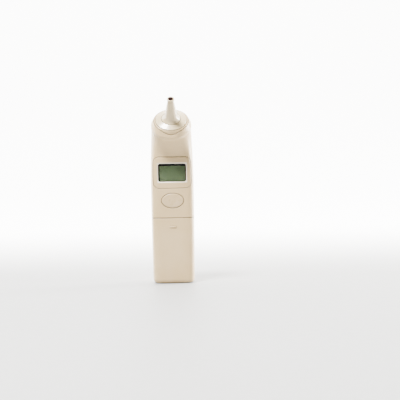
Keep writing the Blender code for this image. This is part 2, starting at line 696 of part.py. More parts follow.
def collar_profile(turn):
    """Section of the collar: spigot, rounded rim, cone up to the top edge, seats for ring and seal."""
    rise = rim_rise(turn)
    radius = 16.5 * MM - RIM_LEAN * rise
    edge = [(radius, 1.6 * MM + rise), (radius - 0.3 * MM, 1.6 * MM + rise), (radius - 0.3 * MM, 0.1 * MM)]
    outside = in_mm([(13.1, -7.0), (13.1, -3.2), (17.5, -3.2), (18.0, -2.7), (18.0, -0.5), (17.85, -0.1),
                     (17.5, 0.3)])
    inside = in_mm([(12.8, 0.1), (12.8, 2.4), (10.5, 2.4), (10.5, -2.0), (11.7, -3.6), (11.7, -7.0)])
    return outside + edge + inside


def ring_profile(turn):
    """Section of the retaining ring: its outer edge follows the collar's, its top leads to the plate."""
    rise = rim_rise(turn)
    radius = 15.9 * MM - RIM_LEAN * rise
    height = 1.65 * MM + rise
    outer = [(radius, 0.4 * MM), (radius, height), (radius - 0.2 * MM, height + 0.25 * MM)]
    middle = [(mix(radius - 0.2 * MM, 14.35 * MM, 0.5) + 0.15 * MM, mix(height + 0.25 * MM, 5.05 * MM, 0.5))]
    inner = in_mm([(14.35, 5.05), (14.05, 5.05), (14.05, 4.3), (13.1, 4.3), (13.1, 0.4)])
    return outer + middle + inner


def probe_mount(casing_look, nozzle_look, rubber):
    """Collar, retaining ring, base plate and seal that hold the nozzle to the casing."""
    turned("head_collar", collar_profile, casing_look, steps=COLLAR_STEPS)
    turned("retaining_ring", ring_profile, casing_look, steps=COLLAR_STEPS)
    plate = in_mm([(8.7, 7.15), (13.4, 5.8), (13.68, 5.6), (13.75, 5.3), (13.75, 4.7), (10.3, 4.7),
                   (10.3, 6.0), (8.7, 6.0)])
    turned("probe_base_plate", plate, nozzle_look, steps=COLLAR_STEPS)
    section = []
    for step in range(8):
        turn = 2.0 * math.pi * step / 8
        section.append((11.5 + 0.8 * math.cos(turn), 3.55 + 0.8 * math.sin(turn)))
    turned("probe_seal_ring", in_mm(section), rubber, steps=30)


def sensor(aluminium, steel, board_look, film):
    """Sensor can in its block, the small board behind them and the flex cable to the main board."""
    turned("sensor_block", in_mm([(2.75, 2.5), (5.0, 2.5), (5.0, 8.3), (2.75, 8.3)]), aluminium, steps=24)
    can = in_mm([(2.4, 3.0), (2.4, 3.5), (2.1, 3.6), (2.1, 7.4), (1.9, 7.7)])
    turned("thermopile_sensor", can, steel, steps=24, hollow=False)
    turned("sensor_circuit_board", in_mm([(9.0, 1.2), (9.0, 2.2)]), board_look, hollow=False)
    place_of = head_matrix()
    start = place_of @ Vector((0.0, 0.0, 0.75 * MM))
    leave = place_of @ Vector((0.0, 0.0, -6.0 * MM))
    end = Vector((0.0, PART_SEAT + 0.9 * MM, BOARD_TOP - 1.4 * MM))
    arrive = end + Vector((0.0, 0.0, 9.0 * MM))
    rings = []
    steps = 14
    half = 0.12 * MM
    for step in range(steps + 1):
        share = step / steps
        rest = 1.0 - share
        middle = (start * rest ** 3 + leave * 3.0 * rest ** 2 * share
                  + arrive * 3.0 * rest * share ** 2 + end * share ** 3)
        run = ((leave - start) * rest ** 2 + (arrive - leave) * 2.0 * rest * share
               + (end - arrive) * share ** 2).normalized()
        side = Vector((0.0, -run.z, run.y)) * half
        edges = [middle + Vector((x, 0.0, 0.0)) for x in FLEX_CABLE_EDGES]
        rings.append([edges[0] + side, edges[1] + side, edges[1] - side, edges[0] - side])
    loft("flex_cable", rings, film)


# ---------------------------------------------------------------- assembly

def build():
    """Make every piece."""
    clear_scene()
    casing = material("casing_abs", 0.72, 0.62, 0.49, 0.4)
    probe_plastic = material("probe_plastic", 0.80, 0.72, 0.60, 0.25)
    clear = material("clear_acrylic", 0.75, 0.78, 0.74, 0.08)
    lcd = material("lcd_glass", 0.18, 0.23, 0.14, 0.15)
    white = material("white_plastic", 0.80, 0.79, 0.76, 0.45)
    board_green = material("board_laminate", 0.03, 0.17, 0.08, 0.45)
    black = material("black_epoxy", 0.02, 0.02, 0.02, 0.5)
    rubber = material("silicone_rubber", 0.12, 0.12, 0.12, 0.7)
    steel = material("zinc_steel", 0.62, 0.62, 0.60, 0.3, 1.0)
    tin = material("nickel_plate", 0.68, 0.67, 0.63, 0.28, 1.0)
    aluminium = material("aluminium", 0.75, 0.75, 0.76, 0.35, 1.0)
    gold = material("gold_plate", 0.83, 0.61, 0.26, 0.22, 1.0)
    lens = material("lens_silicon", 0.09, 0.06, 0.04, 0.12)
    cell = material("cell_sleeve", 0.10, 0.18, 0.32, 0.35)
    film = material("polyimide_film", 0.50, 0.21, 0.05, 0.4)
    red = material("red_sheath", 0.50, 0.03, 0.02, 0.45)

    front_housing(casing)
    rear_housing(casing)
    battery_cover(casing)
    display_bezel(casing)
    display_window(clear)
    lcd_stack(lcd, white, rubber)
    main_circuit_board(board_green)
    board_parts(black, tin, aluminium, white)
    board_screws(steel)
    housing_screws(steel)
    start_button(casing)
    tact_switch(black, white)
    battery_tray(white)
    battery_cells(cell)
    battery_contacts(tin)
    battery_leads(red, black)
    probe_nozzle(probe_plastic)
    probe_optics(probe_plastic, lens, gold)
    probe_mount(casing, probe_plastic, rubber)
    sensor(aluminium, steel, board_green, film)


build()
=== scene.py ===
"""Infrared ear thermometer: the finished look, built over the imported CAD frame.

Row frame: metres, +Z up the handle, the display faces -Y, origin in the middle of the base.
Sections run from the casing inwards, then to the stage, the lights and the camera.
"""
import math

import bmesh
import bpy
import numpy as np
from mathutils import Matrix, Vector


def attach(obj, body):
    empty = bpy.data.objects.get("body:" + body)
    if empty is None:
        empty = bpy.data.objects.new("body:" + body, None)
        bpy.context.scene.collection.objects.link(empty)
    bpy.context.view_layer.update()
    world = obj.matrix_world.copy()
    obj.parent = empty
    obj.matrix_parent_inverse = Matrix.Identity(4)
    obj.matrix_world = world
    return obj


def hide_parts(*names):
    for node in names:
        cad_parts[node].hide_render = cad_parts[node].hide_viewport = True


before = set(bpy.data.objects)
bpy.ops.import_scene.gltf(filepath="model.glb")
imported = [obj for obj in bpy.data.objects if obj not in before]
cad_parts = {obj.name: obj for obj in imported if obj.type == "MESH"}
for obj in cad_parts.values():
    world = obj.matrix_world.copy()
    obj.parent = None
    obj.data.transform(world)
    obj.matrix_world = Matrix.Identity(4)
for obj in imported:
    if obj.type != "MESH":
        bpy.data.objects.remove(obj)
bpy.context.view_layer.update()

MM = 0.001
GAP = 0.3 * MM

# ---------------------------------------------------------------- casing formula
# The casing's skin as one formula, shared by the two housings, the battery cover and the bezel.
# It is a superellipse section carried along a centre line: straight handle, then an arc to the head.

WIDEST_HALF_WIDTH, WIDEST_HEIGHT = 19.4 * MM, 85.0 * MM
BASE_HALF_WIDTH, NECK_HALF_WIDTH = 18.7 * MM, 17.6 * MM
HANDLE_HALF_DEPTH, NECK_HALF_DEPTH = 13.0 * MM, 15.3 * MM
BACK_FLAT_CUT = 0.4 * MM
FRONT_POWER, BACK_POWER = 8.0, 2.7
NECK_FRONT_POWER, NECK_BACK_POWER = 3.4, 2.2
FRONT_TAPER, NECK_FRONT_TAPER = 0.07, 0.2
WALL = 1.6 * MM
BEND_START, BEND_RADIUS, HEAD_TILT = 113.5 * MM, 41.0 * MM, math.radians(41.0)
HEAD_BLEND_START = 100.0 * MM
NECK_END = BEND_START + BEND_RADIUS * HEAD_TILT
BASE_FILLET = 3.6 * MM
FLOOR_INSET = 4.6 * MM
SEAM_ROUND = 0.45 * MM


def mix(first, second, share):
    """Value part of the way from first to second."""
    return first + (second - first) * share


def rise(value, start, end):
    """0 before start, 1 after end, with an even rise between."""
    share = np.clip((value - start) / (end - start), 0.0, 1.0)
    return share * share * (3.0 - 2.0 * share)


def superellipse(angle, power):
    """Unit superellipse |u|^p + |v|^p = 1 at a true angle from the v axis."""
    across, along = np.sin(angle), np.cos(angle)
    reach = (np.abs(across) ** power + np.abs(along) ** power) ** (-1.0 / power)
    return across * reach, along * reach


def even_angles(power, half_width, half_depth):
    """Angles from the v axis at which a quarter of the section has been walked in equal lengths."""
    angle = np.linspace(0.0, math.pi / 2.0, 3001)
    across, along = superellipse(angle, power)
    step = np.hypot(np.diff(across) * half_width, np.diff(along) * half_depth)
    walked = np.concatenate([[0.0], np.cumsum(step)])
    return walked / walked[-1], angle, walked[-1]


WALKS = {(front, head): even_angles(power, width, depth) for front, head, power, width, depth in (
    (True, 0, FRONT_POWER, WIDEST_HALF_WIDTH, HANDLE_HALF_DEPTH),
    (True, 1, NECK_FRONT_POWER, NECK_HALF_WIDTH, NECK_HALF_DEPTH),
    (False, 0, BACK_POWER, WIDEST_HALF_WIDTH, HANDLE_HALF_DEPTH),
    (False, 1, NECK_BACK_POWER, NECK_HALF_WIDTH, NECK_HALF_DEPTH))}
FRONT_WALK, BACK_WALK = WALKS[True, 0][2], WALKS[False, 0][2]


def skin(f, s, inset=0.0, front=True):
    """Point of the casing at f (-1 to 1 across that side) and s (metres along the centre line).

    x = w u and depth = h v on the superellipse |u|^p + |v|^p = 1, both w and h less the inset. The
    point is then set square to the centre line, which turns by (s - BEND_START) / BEND_RADIUS.
    """
    f, s, inset = np.broadcast_arrays(*(np.asarray(value, float) for value in (f, s, inset)))
    head = rise(s, HEAD_BLEND_START, NECK_END)
    low = mix(WIDEST_HALF_WIDTH, BASE_HALF_WIDTH, ((WIDEST_HEIGHT - s) / WIDEST_HEIGHT) ** 2)
    high = mix(
        WIDEST_HALF_WIDTH, NECK_HALF_WIDTH, ((s - WIDEST_HEIGHT) / (NECK_END - WIDEST_HEIGHT)) ** 2)
    half_width = np.where(s < WIDEST_HEIGHT, low, high) - inset
    half_depth = mix(HANDLE_HALF_DEPTH, NECK_HALF_DEPTH, head) - inset
    handle_angle = np.interp(np.abs(f), *WALKS[front, 0][:2])
    neck_angle = np.interp(np.abs(f), *WALKS[front, 1][:2])
    powers = (FRONT_POWER, NECK_FRONT_POWER) if front else (BACK_POWER, NECK_BACK_POWER)
    across, along = superellipse(np.sign(f) * mix(handle_angle, neck_angle, head), mix(*powers, head))
    x = half_width * across
    if front:
        x = x * (1.0 - mix(FRONT_TAPER, NECK_FRONT_TAPER, head) * along ** 2)
        depth = -half_depth * along
    else:
        limit = half_depth - mix(BACK_FLAT_CUT, 0.0, head)
        depth = half_depth * along
        depth = 0.5 * (depth + limit - np.sqrt((depth - limit) ** 2 + (0.1 * MM) ** 2))
        depth = np.where(along < 0.5, half_depth * along, depth)
    turn = np.maximum(s - BEND_START, 0.0) / BEND_RADIUS
    y = depth * np.cos(turn) - BEND_RADIUS * (1.0 - np.cos(turn))
    z = np.minimum(s, BEND_START) + (depth + BEND_RADIUS) * np.sin(turn)
    return np.stack([x, y, z], -1)


def place_on_skin(x, z, inset=0.0, front=True):
    """f and s of the skin's point that has this x and z, found by Newton steps."""
    x, z = np.asarray(x, float), np.asarray(z, float)
    f, s = x / (FRONT_WALK if front else BACK_WALK), z + 0.0 * x
    small = 1e-6
    for _ in range(14):
        here = skin(f, s, inset, front)
        slope_f = (skin(f + small, s, inset, front) - here) / small
        slope_s = (skin(f, s + small, inset, front) - here) / small
        off_x, off_z = x - here[..., 0], z - here[..., 2]
        area = slope_f[..., 0] * slope_s[..., 2] - slope_s[..., 0] * slope_f[..., 2]
        f = np.clip(f + (off_x * slope_s[..., 2] - off_z * slope_s[..., 0]) / area, -0.999, 0.999)
        s = s + (off_z * slope_f[..., 0] - off_x * slope_f[..., 2]) / area
    return f, s


def skin_at(x, z, inset=0.0, front=True):
    """Point of the skin with this x and z."""
    f, s = place_on_skin(x, z, inset, front)
    return skin(f, s, inset, front)


# ---------------------------------------------------------------- front housing
# Upper front shell: injection-moulded ABS, 1.6 mm thick, with a fine moulded texture.
# It is open for the bezel and the start button; its edges are rounded where they meet a seam.


def piece(name, patches, body, node, look, sharp=50.0):
    """Object made from grids of points (rows, columns, 3), joined and closed, for one CAD node."""
    points, faces, start = [], [], 0
    for patch in patches:
        rows, columns = patch.shape[:2]
        index = start + np.arange(rows * columns).reshape(rows, columns)
        corners = (index[:-1, :-1], index[:-1, 1:], index[1:, 1:], index[1:, :-1])
        points.append(patch.reshape(-1, 3))
        faces.append(np.stack(corners, -1).reshape(-1, 4))
        start += rows * columns
    data = bpy.data.meshes.new(name)
    data.from_pydata(np.concatenate(points).tolist(), [], np.concatenate(faces).tolist())
    work = bmesh.new()
    work.from_mesh(data)
    bmesh.ops.remove_doubles(work, verts=work.verts, dist=3e-6)
    bmesh.ops.delete(work, geom=[vert for vert in work.verts if not vert.link_faces], context="VERTS")
    bmesh.ops.recalc_face_normals(work, faces=work.faces)
    work.to_mesh(data)
    work.free()
    data.shade_smooth()
    data.set_sharp_from_angle(angle=math.radians(sharp))
    item = bpy.data.objects.new(name, data)
    bpy.context.scene.collection.objects.link(item)
    data.materials.append(look)
    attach(item, body)
    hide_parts(node)


def quarter(radius, steps=4):
    """Pairs (distance to the edge, depth below the surface) round an edge of that radius."""
    turn = np.linspace(0.0, math.pi / 2.0, steps + 1)
    return radius * (1.0 - np.sin(turn)), radius * (1.0 - np.cos(turn))


def reach(angle, half_x, half_z, corner=None):
    """Distance from the middle to a rounded rectangle at a true angle; to an oval with no corner."""
    across, up = np.abs(np.cos(angle)) + 1e-12, np.abs(np.sin(angle)) + 1e-12
    if corner is None:
        return 1.0 / np.hypot(across / half_x, up / half_z)
    side, top = half_x / across, half_z / up
    wide, tall = half_x - corner, half_z - corner
    along = across * wide + up * tall
    arc = along + np.sqrt(np.maximum(along ** 2 - wide ** 2 - tall ** 2 + corner ** 2, 0.0))
    return np.where(side * up <= tall, side, np.where(top * across <= wide, top, arc))


def holed_wall(s_range, real_ends, hole, rows, front, deep_rows=(), clearance=0.0, counts=(120, 84)):
    """Wall of the casing between two stations with one hole, as a shell with rounded edges.

    Rings of points run from the wall's four-sided edge in to the hole: (f, s) of ring t is
    mix(edge, hole, t). real_ends says which of the lower and upper ends is a seam; the others are
    shared with a neighbour. deep_rows are (grow, y) rows down inside the hole, and back up.
    """
    centre_z, half_x, half_z, corner = hole
    walk = FRONT_WALK if front else BACK_WALK
    away, deep = quarter(SEAM_ROUND)
    across, up = counts
    side = np.arange(across) / across
    rise_up = np.arange(up) / up
    u = np.concatenate([2 * side - 1, 1 + 0 * rise_up, 1 - 2 * side, -1 + 0 * rise_up, [-1.0]])
    v = np.concatenate([0 * side, rise_up, 1 + 0 * side, 1 - rise_up, [0.0]])

    def edge_ring(distance):
        low = s_range[0] + distance * real_ends[0]
        high = s_range[1] - distance * real_ends[1]
        return u * (1.0 - (clearance + distance) / walk), mix(low, high, v)

    f, s = edge_ring(SEAM_ROUND)
    angles = np.arctan2(s - centre_z, f * walk)

    def hole_ring(grow):
        size = reach(angles, half_x + grow, half_z + grow, None if corner is None else corner + grow)
        return size * np.cos(angles), centre_z + size * np.sin(angles)

    rims = [edge_ring(distance) for distance in away[:0:-1]]
    rims = [(ring, depth) for ring, depth in zip(rims, deep[:0:-1])]
    wall_f, wall_s = place_on_skin(*hole_ring(SEAM_ROUND), 0.0, front)
    inner_f, inner_s = place_on_skin(*hole_ring(0.0), WALL, front)
    share = (1.0 - np.cos(np.linspace(0.0, math.pi, rows))) / 2.0
    outer = [skin(*ring, depth, front) for ring, depth in rims]
    outer += [skin(mix(f, wall_f, t), mix(s, wall_s, t), 0.0, front) for t in share]
    outer += [skin_at(*hole_ring(grow), depth, front) for grow, depth in zip(away[1:], deep[1:])]
    inner = [skin(*ring, WALL, front) for ring, depth in rims]
    inner += [skin(mix(f, inner_f, t), mix(s, inner_s, t), WALL, front) for t in share]
    for grow, y in deep_rows:
        x, z = hole_ring(grow)
        outer.append(np.stack([x, y + 0.0 * x, z], -1))
    outer, inner = np.stack(outer), np.stack(inner)
    edge_rows = len(rims) + 1
    patches = [outer[edge_rows - 1:], inner[edge_rows - 1:], np.stack([outer[-1], inner[-1]])]
    sides = [(real_ends[0], 0, across), (True, across, across + up),
             (real_ends[1], across + up, 2 * across + up), (True, 2 * across + up, 2 * (across + up))]
    for real, start, end in sides:
        if real:
            span = slice(start, end + 1)
            patches += [outer[:edge_rows, span], inner[:edge_rows, span],
                        np.stack([outer[0, span], inner[0, span]])]
    return patches


def tube_y(x, z, section):
    """Round part along y: section is (radius, y) pairs, closed at both ends where the radius is 0."""
    turn = np.linspace(0.0, 2.0 * math.pi, 49)
    radius, y = (np.array(value)[:, None] for value in zip(*section))
    return np.stack([x + radius * np.cos(turn), y + 0.0 * turn, z + radius * np.sin(turn)], -1)


def linear(code):
    """sRGB hex colour as linear RGBA."""
    shares = [int(code[i:i + 2], 16) / 255.0 for i in (1, 3, 5)]
    return [v / 12.92 if v <= 0.04045 else ((v + 0.055) / 1.055) ** 2.4 for v in shares] + [1.0]


def add(tree, kind, inputs=None, **settings):
    """Add a node. inputs maps socket names or numbers to values, or to the sockets that feed them."""
    node = tree.nodes.new("ShaderNode" + kind)
    for name, value in settings.items():
        setattr(node, name, value)
    for name, value in (inputs or {}).items():
        if isinstance(value, bpy.types.NodeSocket):
            tree.links.new(value, node.inputs[name])
        else:
            node.inputs[name].default_value = value
    return node


def field(tree, where, size, low, high, span=(0.35, 0.65), detail=3.0):
    """Noise whose grain is size mm across, stretched from span to run from low to high."""
    noise = add(tree, "TexNoise", {"Vector": where, "Scale": 1000.0 / size, "Detail": detail})
    return add(
        tree, "MapRange", {0: noise.outputs[0], 1: span[0], 2: span[1], 3: low, 4: high}).outputs[0]


def blended(tree, share, first, second, mode="MIX"):
    """Colour part of the way from first to second."""
    node = add(tree, "Mix", {0: share}, data_type="RGBA", blend_type=mode)
    for name, value in ((6, first), (7, second)):
        if isinstance(value, bpy.types.NodeSocket):
            tree.links.new(value, node.inputs[name])
        else:
            node.inputs[name].default_value = linear(value) if isinstance(value, str) else value
    return node.outputs[2]


def material(name, colour, colour_two, patch, roughness, spread, grain, height, scratch=0.3, crease_shade=0.0,
             metallic=0.0, **sockets):
    """Principled material with drifting colour, smudged roughness, surface grain, fine scratches and
    painted shade in creases.

    patch and grain are in mm, height is the grain's depth in mm. The crease weight paints shade: an AO
    node darkens the colour in narrow places.
    Returns the material, its tree, its shader and the Object coordinates, for marks of its own.
    """
    look = bpy.data.materials.new(name)
    look.use_nodes = True
    tree = look.node_tree
    shader = tree.nodes["Principled BSDF"]
    where = add(tree, "TexCoord").outputs["Object"]
    tint = blended(tree, field(tree, where, patch, 0.0, 1.0), colour, colour_two)
    # Painted shade: an AO node darkens the colour in creases, grooves and gaps between parts.
    if crease_shade:
        closed_in = add(tree, "AmbientOcclusion", {"Distance": 1.6 * MM}, samples=6).outputs["AO"]
        crease_shade_share = add(tree, "MapRange", {0: closed_in, 1: 0.4, 2: 0.95, 3: crease_shade, 4: 0.0}).outputs[0]
        tint = blended(tree, crease_shade_share, tint, "#4a3b28")
    tree.links.new(tint, shader.inputs["Base Color"])
    smudge = field(tree, where, 7.0, roughness - spread, roughness + spread, (0.3, 0.7), 5.0)
    cells = add(tree, "TexVoronoi", {"Vector": where, "Scale": 90.0, "Randomness": 1.0},
                feature="DISTANCE_TO_EDGE")
    line = add(tree, "MapRange", {0: cells.outputs[0], 1: 0.0, 2: 0.006, 3: scratch, 4: 0.0}).outputs[0]
    broken = field(tree, where, 5.0, 0.0, 1.0, (0.55, 0.6))
    line = add(tree, "Math", {0: line, 1: broken}, operation="MULTIPLY").outputs[0]
    rough = add(tree, "Math", {0: smudge, 1: line}, operation="ADD", use_clamp=True).outputs[0]
    tree.links.new(rough, shader.inputs["Roughness"])
    texture = field(tree, where, grain, 0.0, 1.0, (0.25, 0.75), 2.0)
    texture = add(tree, "Math", {0: texture, 1: line}, operation="SUBTRACT").outputs[0]
    bump = add(tree, "Bump", {"Height": texture, "Strength": 1.0, "Distance": height * MM})
    tree.links.new(bump.outputs[0], shader.inputs["Normal"])
    shader.inputs["Metallic"].default_value = metallic
    for socket, value in sockets.items():
        shader.inputs[socket.replace("_", " ")].default_value = value
    return look, tree, shader, where


def tinted(tree, shader, share, colour, mode="MIX"):
    """Lay colour over the shader's base colour by share."""
    below = shader.inputs["Base Color"].links[0].from_socket
    tree.links.new(blended(tree, share, below, colour, mode), shader.inputs["Base Color"])


def near(tree, where, axis, place, reach_mm, half_width=0.0):
    """1 within half_width mm of a plane across that axis, falling to 0 over reach_mm."""
    value = add(tree, "SeparateXYZ", {0: where}).outputs[axis]
    away = add(tree, "Math", {0: value, 1: place * MM}, operation="SUBTRACT").outputs[0]
    away = add(tree, "Math", {0: away}, operation="ABSOLUTE").outputs[0]
    ends = {0: away, 1: half_width * MM, 2: (half_width + reach_mm) * MM, 3: 1.0, 4: 0.0}
    return add(tree, "MapRange", ends, interpolation_type="SMOOTHSTEP").outputs[0]


def product(tree, *values):
    """Product of two or more values."""
    made = values[0]
    for value in values[1:]:
        made = add(tree, "Math", {0: made, 1: value}, operation="MULTIPLY").outputs[0]
    return made


COVER_TOP = 59.3 * MM
BUTTON_CENTRE, BUTTON_SEMI_AXES = 74.8 * MM, (9.9 * MM, 6.5 * MM)
BEZEL_CENTRE, BEZEL_SIZE, BEZEL_CORNER = 100.0 * MM, (33.6 * MM, 27.9 * MM), 5.2 * MM
HOUSING_SCREW_HEIGHTS = (61.9 * MM, 121.3 * MM)
FRONT_SPLIT = 83.6 * MM
WARM_ABS = ("#d2b688", "#caad7c", 30.0, 0.36, 0.06, 0.22, 0.006)
SEAM_SHADE_COLOUR = "#8f7a58"

# The fine spark-eroded grain spreads the highlights and hands polish it. Shade is painted along the
# seams and, through the AO node, into creases.
casing_plastic, tree, shader, where = material(
    "ABS, injection moulded, spark texture", *WARM_ABS, crease_shade=0.85, IOR=1.53)
seam = COVER_TOP / MM
# Painted shade along the battery cover's seam: a mottled darker band.
seam_shade = product(tree, near(tree, where, 2, seam, 0.9), field(tree, where, 2.5, 0.15, 0.5))
tinted(tree, shader, seam_shade, SEAM_SHADE_COLOUR)
# Painted shadow: a thin dark line right on the seam, all round the casing.
seam_shadow_line = product(tree, near(tree, where, 2, seam, 0.3, 0.15), field(tree, where, 4.0, 0.5, 0.9))
tinted(tree, shader, seam_shadow_line, "#3d3022")
# Painted shade along the side seam between the front and rear shells, mottled, up to about 100 mm.
side_seam_shade = product(tree, near(tree, where, 1, 0.0, 0.7), near(tree, where, 2, 50.0, 8.0, 52.0),
                    field(tree, where, 3.0, 0.05, 0.4))
tinted(tree, shader, side_seam_shade, SEAM_SHADE_COLOUR)

button_hole = (BUTTON_CENTRE, BUTTON_SEMI_AXES[0] + GAP, BUTTON_SEMI_AXES[1] + GAP, None)
bezel_hole = (BEZEL_CENTRE, BEZEL_SIZE[0] / 2.0 + GAP, BEZEL_SIZE[1] / 2.0 + GAP, BEZEL_CORNER + GAP)
front_patches = holed_wall(
    (COVER_TOP + GAP / 2.0, FRONT_SPLIT), (1, 0), button_hole, 26, True, clearance=GAP)
front_patches += holed_wall(
    (FRONT_SPLIT, NECK_END - GAP / 2.0), (0, 1), bezel_hole, 36, True, clearance=GAP)
for height in HOUSING_SCREW_HEIGHTS:
    wall_y = skin(0.0, height, WALL / 2.0)[1]
    front_patches.append(tube_y(0.0, height, [(0.0, wall_y), (2.6 * MM, wall_y), (2.6 * MM, 0.7 * MM),
                                              (2.3 * MM, 1.0 * MM), (1.4 * MM, 1.0 * MM),
                                              (1.4 * MM, -6.0 * MM), (0.0, -6.0 * MM)]))
piece("front_housing_shell", front_patches, "handle", "front_housing", casing_plastic)

# ---------------------------------------------------------------- rear housing
# Back shell, moulded in the same ABS: flat back, the bottom wall, and two counterbored screw bosses.
# Its bottom wall has a tongue that the battery cover's lip slides round.

REAR_SPLIT_LOW, REAR_SPLIT_HIGH = 12.0 * MM, 92.0 * MM
SCREW_SEAT = 6.8 * MM
COVER_FLOOR_BACK = -8.0 * MM


def columns_across(count, walk, clearance):
    """Columns f from edge to edge with how deep each lies: the two edges are rounded."""
    edge = 1.0 - clearance / walk
    away, deep = quarter(SEAM_ROUND)
    main = np.linspace(-(edge - SEAM_ROUND / walk), edge - SEAM_ROUND / walk, count + 1)
    side = edge - away[1:] / walk
    f = np.concatenate([-side[::-1], main, side])
    return f, np.concatenate([deep[:0:-1], 0.0 * main, deep[1:]])


def two_sheets(outer, inner, open_top=False):
    """Closed shell from two grids of the same size, joined round their edges."""
    strips = [np.stack([outer[:, 0], inner[:, 0]]), np.stack([outer[:, -1], inner[:, -1]]),
              np.stack([outer[-1], inner[-1]])]
    if not open_top:
        strips.append(np.stack([outer[0], inner[0]]))
    return [outer, inner] + strips


def based_shell(front, top, open_top, clearance, count, rows):
    """Wall of the casing from a station down round its base, then in along the bottom to a lip.

    The lip's edge follows the section drawn in by FLOOR_INSET; the front one is cut at its limit.
    """
    walk = FRONT_WALK if front else BACK_WALK
    f, side_depth = columns_across(count, walk, clearance)
    turn = np.linspace(0.0, math.pi / 2.0, 9)[1:]
    away, deep = quarter(SEAM_ROUND)
    start = 0.0 if open_top else SEAM_ROUND
    levels = mix(top - start, BASE_FILLET, np.linspace(0.0, 1.0, rows) ** 0.9)
    s = np.concatenate([levels, BASE_FILLET * (1.0 - np.sin(turn))])
    inset = np.concatenate([0.0 * levels, BASE_FILLET * (1.0 - np.cos(turn))])
    if not open_top:
        s = np.concatenate([top - away[:0:-1], s])
        inset = np.concatenate([deep[:0:-1], inset])
    outer = skin(f[None, :], s[:, None], inset[:, None] + side_depth[None, :], front)
    inner = skin(f[None, :], np.maximum(s, WALL)[:, None], WALL, front)
    lip = skin(f, 0.0, FLOOR_INSET, front)
    if front:
        lip[:, 1] *= (COVER_FLOOR_BACK - GAP / 2.0) / (FLOOR_INSET - HANDLE_HALF_DEPTH)
    lip = np.stack([lip, lip + [0.0, 0.0, WALL]])
    outer = np.concatenate([outer, lip[:1]])
    inner = np.concatenate([inner, lip[1:]])
    return two_sheets(outer, inner, open_top)


rear_patches = based_shell(False, REAR_SPLIT_LOW, True, 0.0, 120, 24)
for ends, height, real in (((REAR_SPLIT_LOW, REAR_SPLIT_HIGH), HOUSING_SCREW_HEIGHTS[0], (0, 0)),
                           ((REAR_SPLIT_HIGH, NECK_END - GAP / 2.0), HOUSING_SCREW_HEIGHTS[1], (0, 1))):
    boss = ((0.0, SCREW_SEAT), (-1.1 * MM, SCREW_SEAT), (-1.1 * MM, 1.3 * MM), (0.9 * MM, 1.3 * MM),
            (0.9 * MM, 10.0 * MM))
    rear_patches += holed_wall(ends, real, (height, 2.6 * MM, 2.6 * MM, None), 40, False, boss)
tongue = skin(np.linspace(-1.0, 1.0, 91), 0.0, FLOOR_INSET + GAP, True)
tongue[:, 1] *= (COVER_FLOOR_BACK + GAP / 2.0) / (FLOOR_INSET + GAP - HANDLE_HALF_DEPTH)
floor_edge = skin(np.linspace(-1.0, 1.0, 91), 0.0, FLOOR_INSET - 0.4 * MM, False)
share = np.array([0.0, 0.15, 0.4, 0.7, 0.97, 1.0])[:, None, None]
plate = mix(floor_edge[None], tongue[None], share)
low, high = [0.0, 0.0, 0.01 * MM], [0.0, 0.0, WALL - 0.01 * MM]
rear_patches += two_sheets(plate + low, plate + high)
piece("rear_housing_shell", rear_patches, "handle", "rear_housing", casing_plastic)

# ---------------------------------------------------------------- battery cover
# Lower front shell, moulded in the same ABS. It slides off downwards: a U-shaped lip holds it at the
# bottom, and a small raised bar near the top gives the thumb a grip.

GRIP_HEIGHT, GRIP_HALF_WIDTH = 51.2 * MM, 3.0 * MM
GRIP_HALF_HEIGHT, GRIP_CORNER = 0.6 * MM, 0.5 * MM
# How far the bar is drawn in, and how high it stands there, in mm: a rounded top, a foot in the wall.
GRIP_SECTION = ((0.5, 0.5), (0.35, 0.49), (0.22, 0.44), (0.12, 0.35), (0.04, 0.22), (0.0, 0.05),
                (0.0, -0.5))


def corner_angles(half_x, half_z, corner, straight=24, turned=10):
    """Angles of points round a rounded rectangle, dense in its corners; the first comes last too."""
    share = np.linspace(0.0, 1.0, straight, endpoint=False)
    turn = np.linspace(0.0, math.pi / 2.0, turned, endpoint=False)
    wide, tall = half_x - corner, half_z - corner
    x = np.concatenate([half_x + 0.0 * share, wide + corner * np.cos(turn), mix(wide, -wide, share)])
    z = np.concatenate([mix(-tall, tall, share), tall + corner * np.sin(turn), half_z + 0.0 * share])
    left = np.concatenate([-half_x + 0.0 * share, -wide - corner * np.cos(turn)])
    left_z = np.concatenate([mix(tall, -tall, share), -tall - corner * np.sin(turn)])
    bend = (-wide - corner * np.sin(turn), tall + corner * np.cos(turn))
    low = (mix(-wide, wide, share), -half_z + 0.0 * share)
    last = (wide + corner * np.sin(turn), -tall - corner * np.cos(turn))
    x = np.concatenate([x, bend[0], left, low[0], last[0]])
    z = np.concatenate([z, bend[1], left_z, low[1], last[1]])
    angles = np.unwrap(np.arctan2(z, x))
    return np.append(angles, angles[0] + 2.0 * math.pi)


cover_patches = based_shell(True, COVER_TOP - GAP / 2.0, False, GAP, 132, 60)
bar_angles = corner_angles(GRIP_HALF_WIDTH, GRIP_HALF_HEIGHT, GRIP_CORNER, 20, 8)
bar_rings = []
for drop, lift in GRIP_SECTION:
    size = reach(bar_angles, GRIP_HALF_WIDTH - drop * MM, GRIP_HALF_HEIGHT - drop * MM,
                 max(GRIP_CORNER - drop * MM, 0.001 * MM))
    bar_rings.append(np.stack([size * np.cos(bar_angles), -HANDLE_HALF_DEPTH - lift * MM + 0.0 * size,
                               GRIP_HEIGHT + size * np.sin(bar_angles)], -1))
bar_rings = [bar_rings[0] * [1.0, 1.0, 0.0] + [0.0, 0.0, GRIP_HEIGHT]] + bar_rings
bar_rings.append(bar_rings[-1] * [1.0, 1.0, 0.0] + [0.0, 0.0, GRIP_HEIGHT])
cover_patches.append(np.stack(bar_rings))
piece("battery_cover_shell", cover_patches, "battery_cover", "battery_cover", casing_plastic)

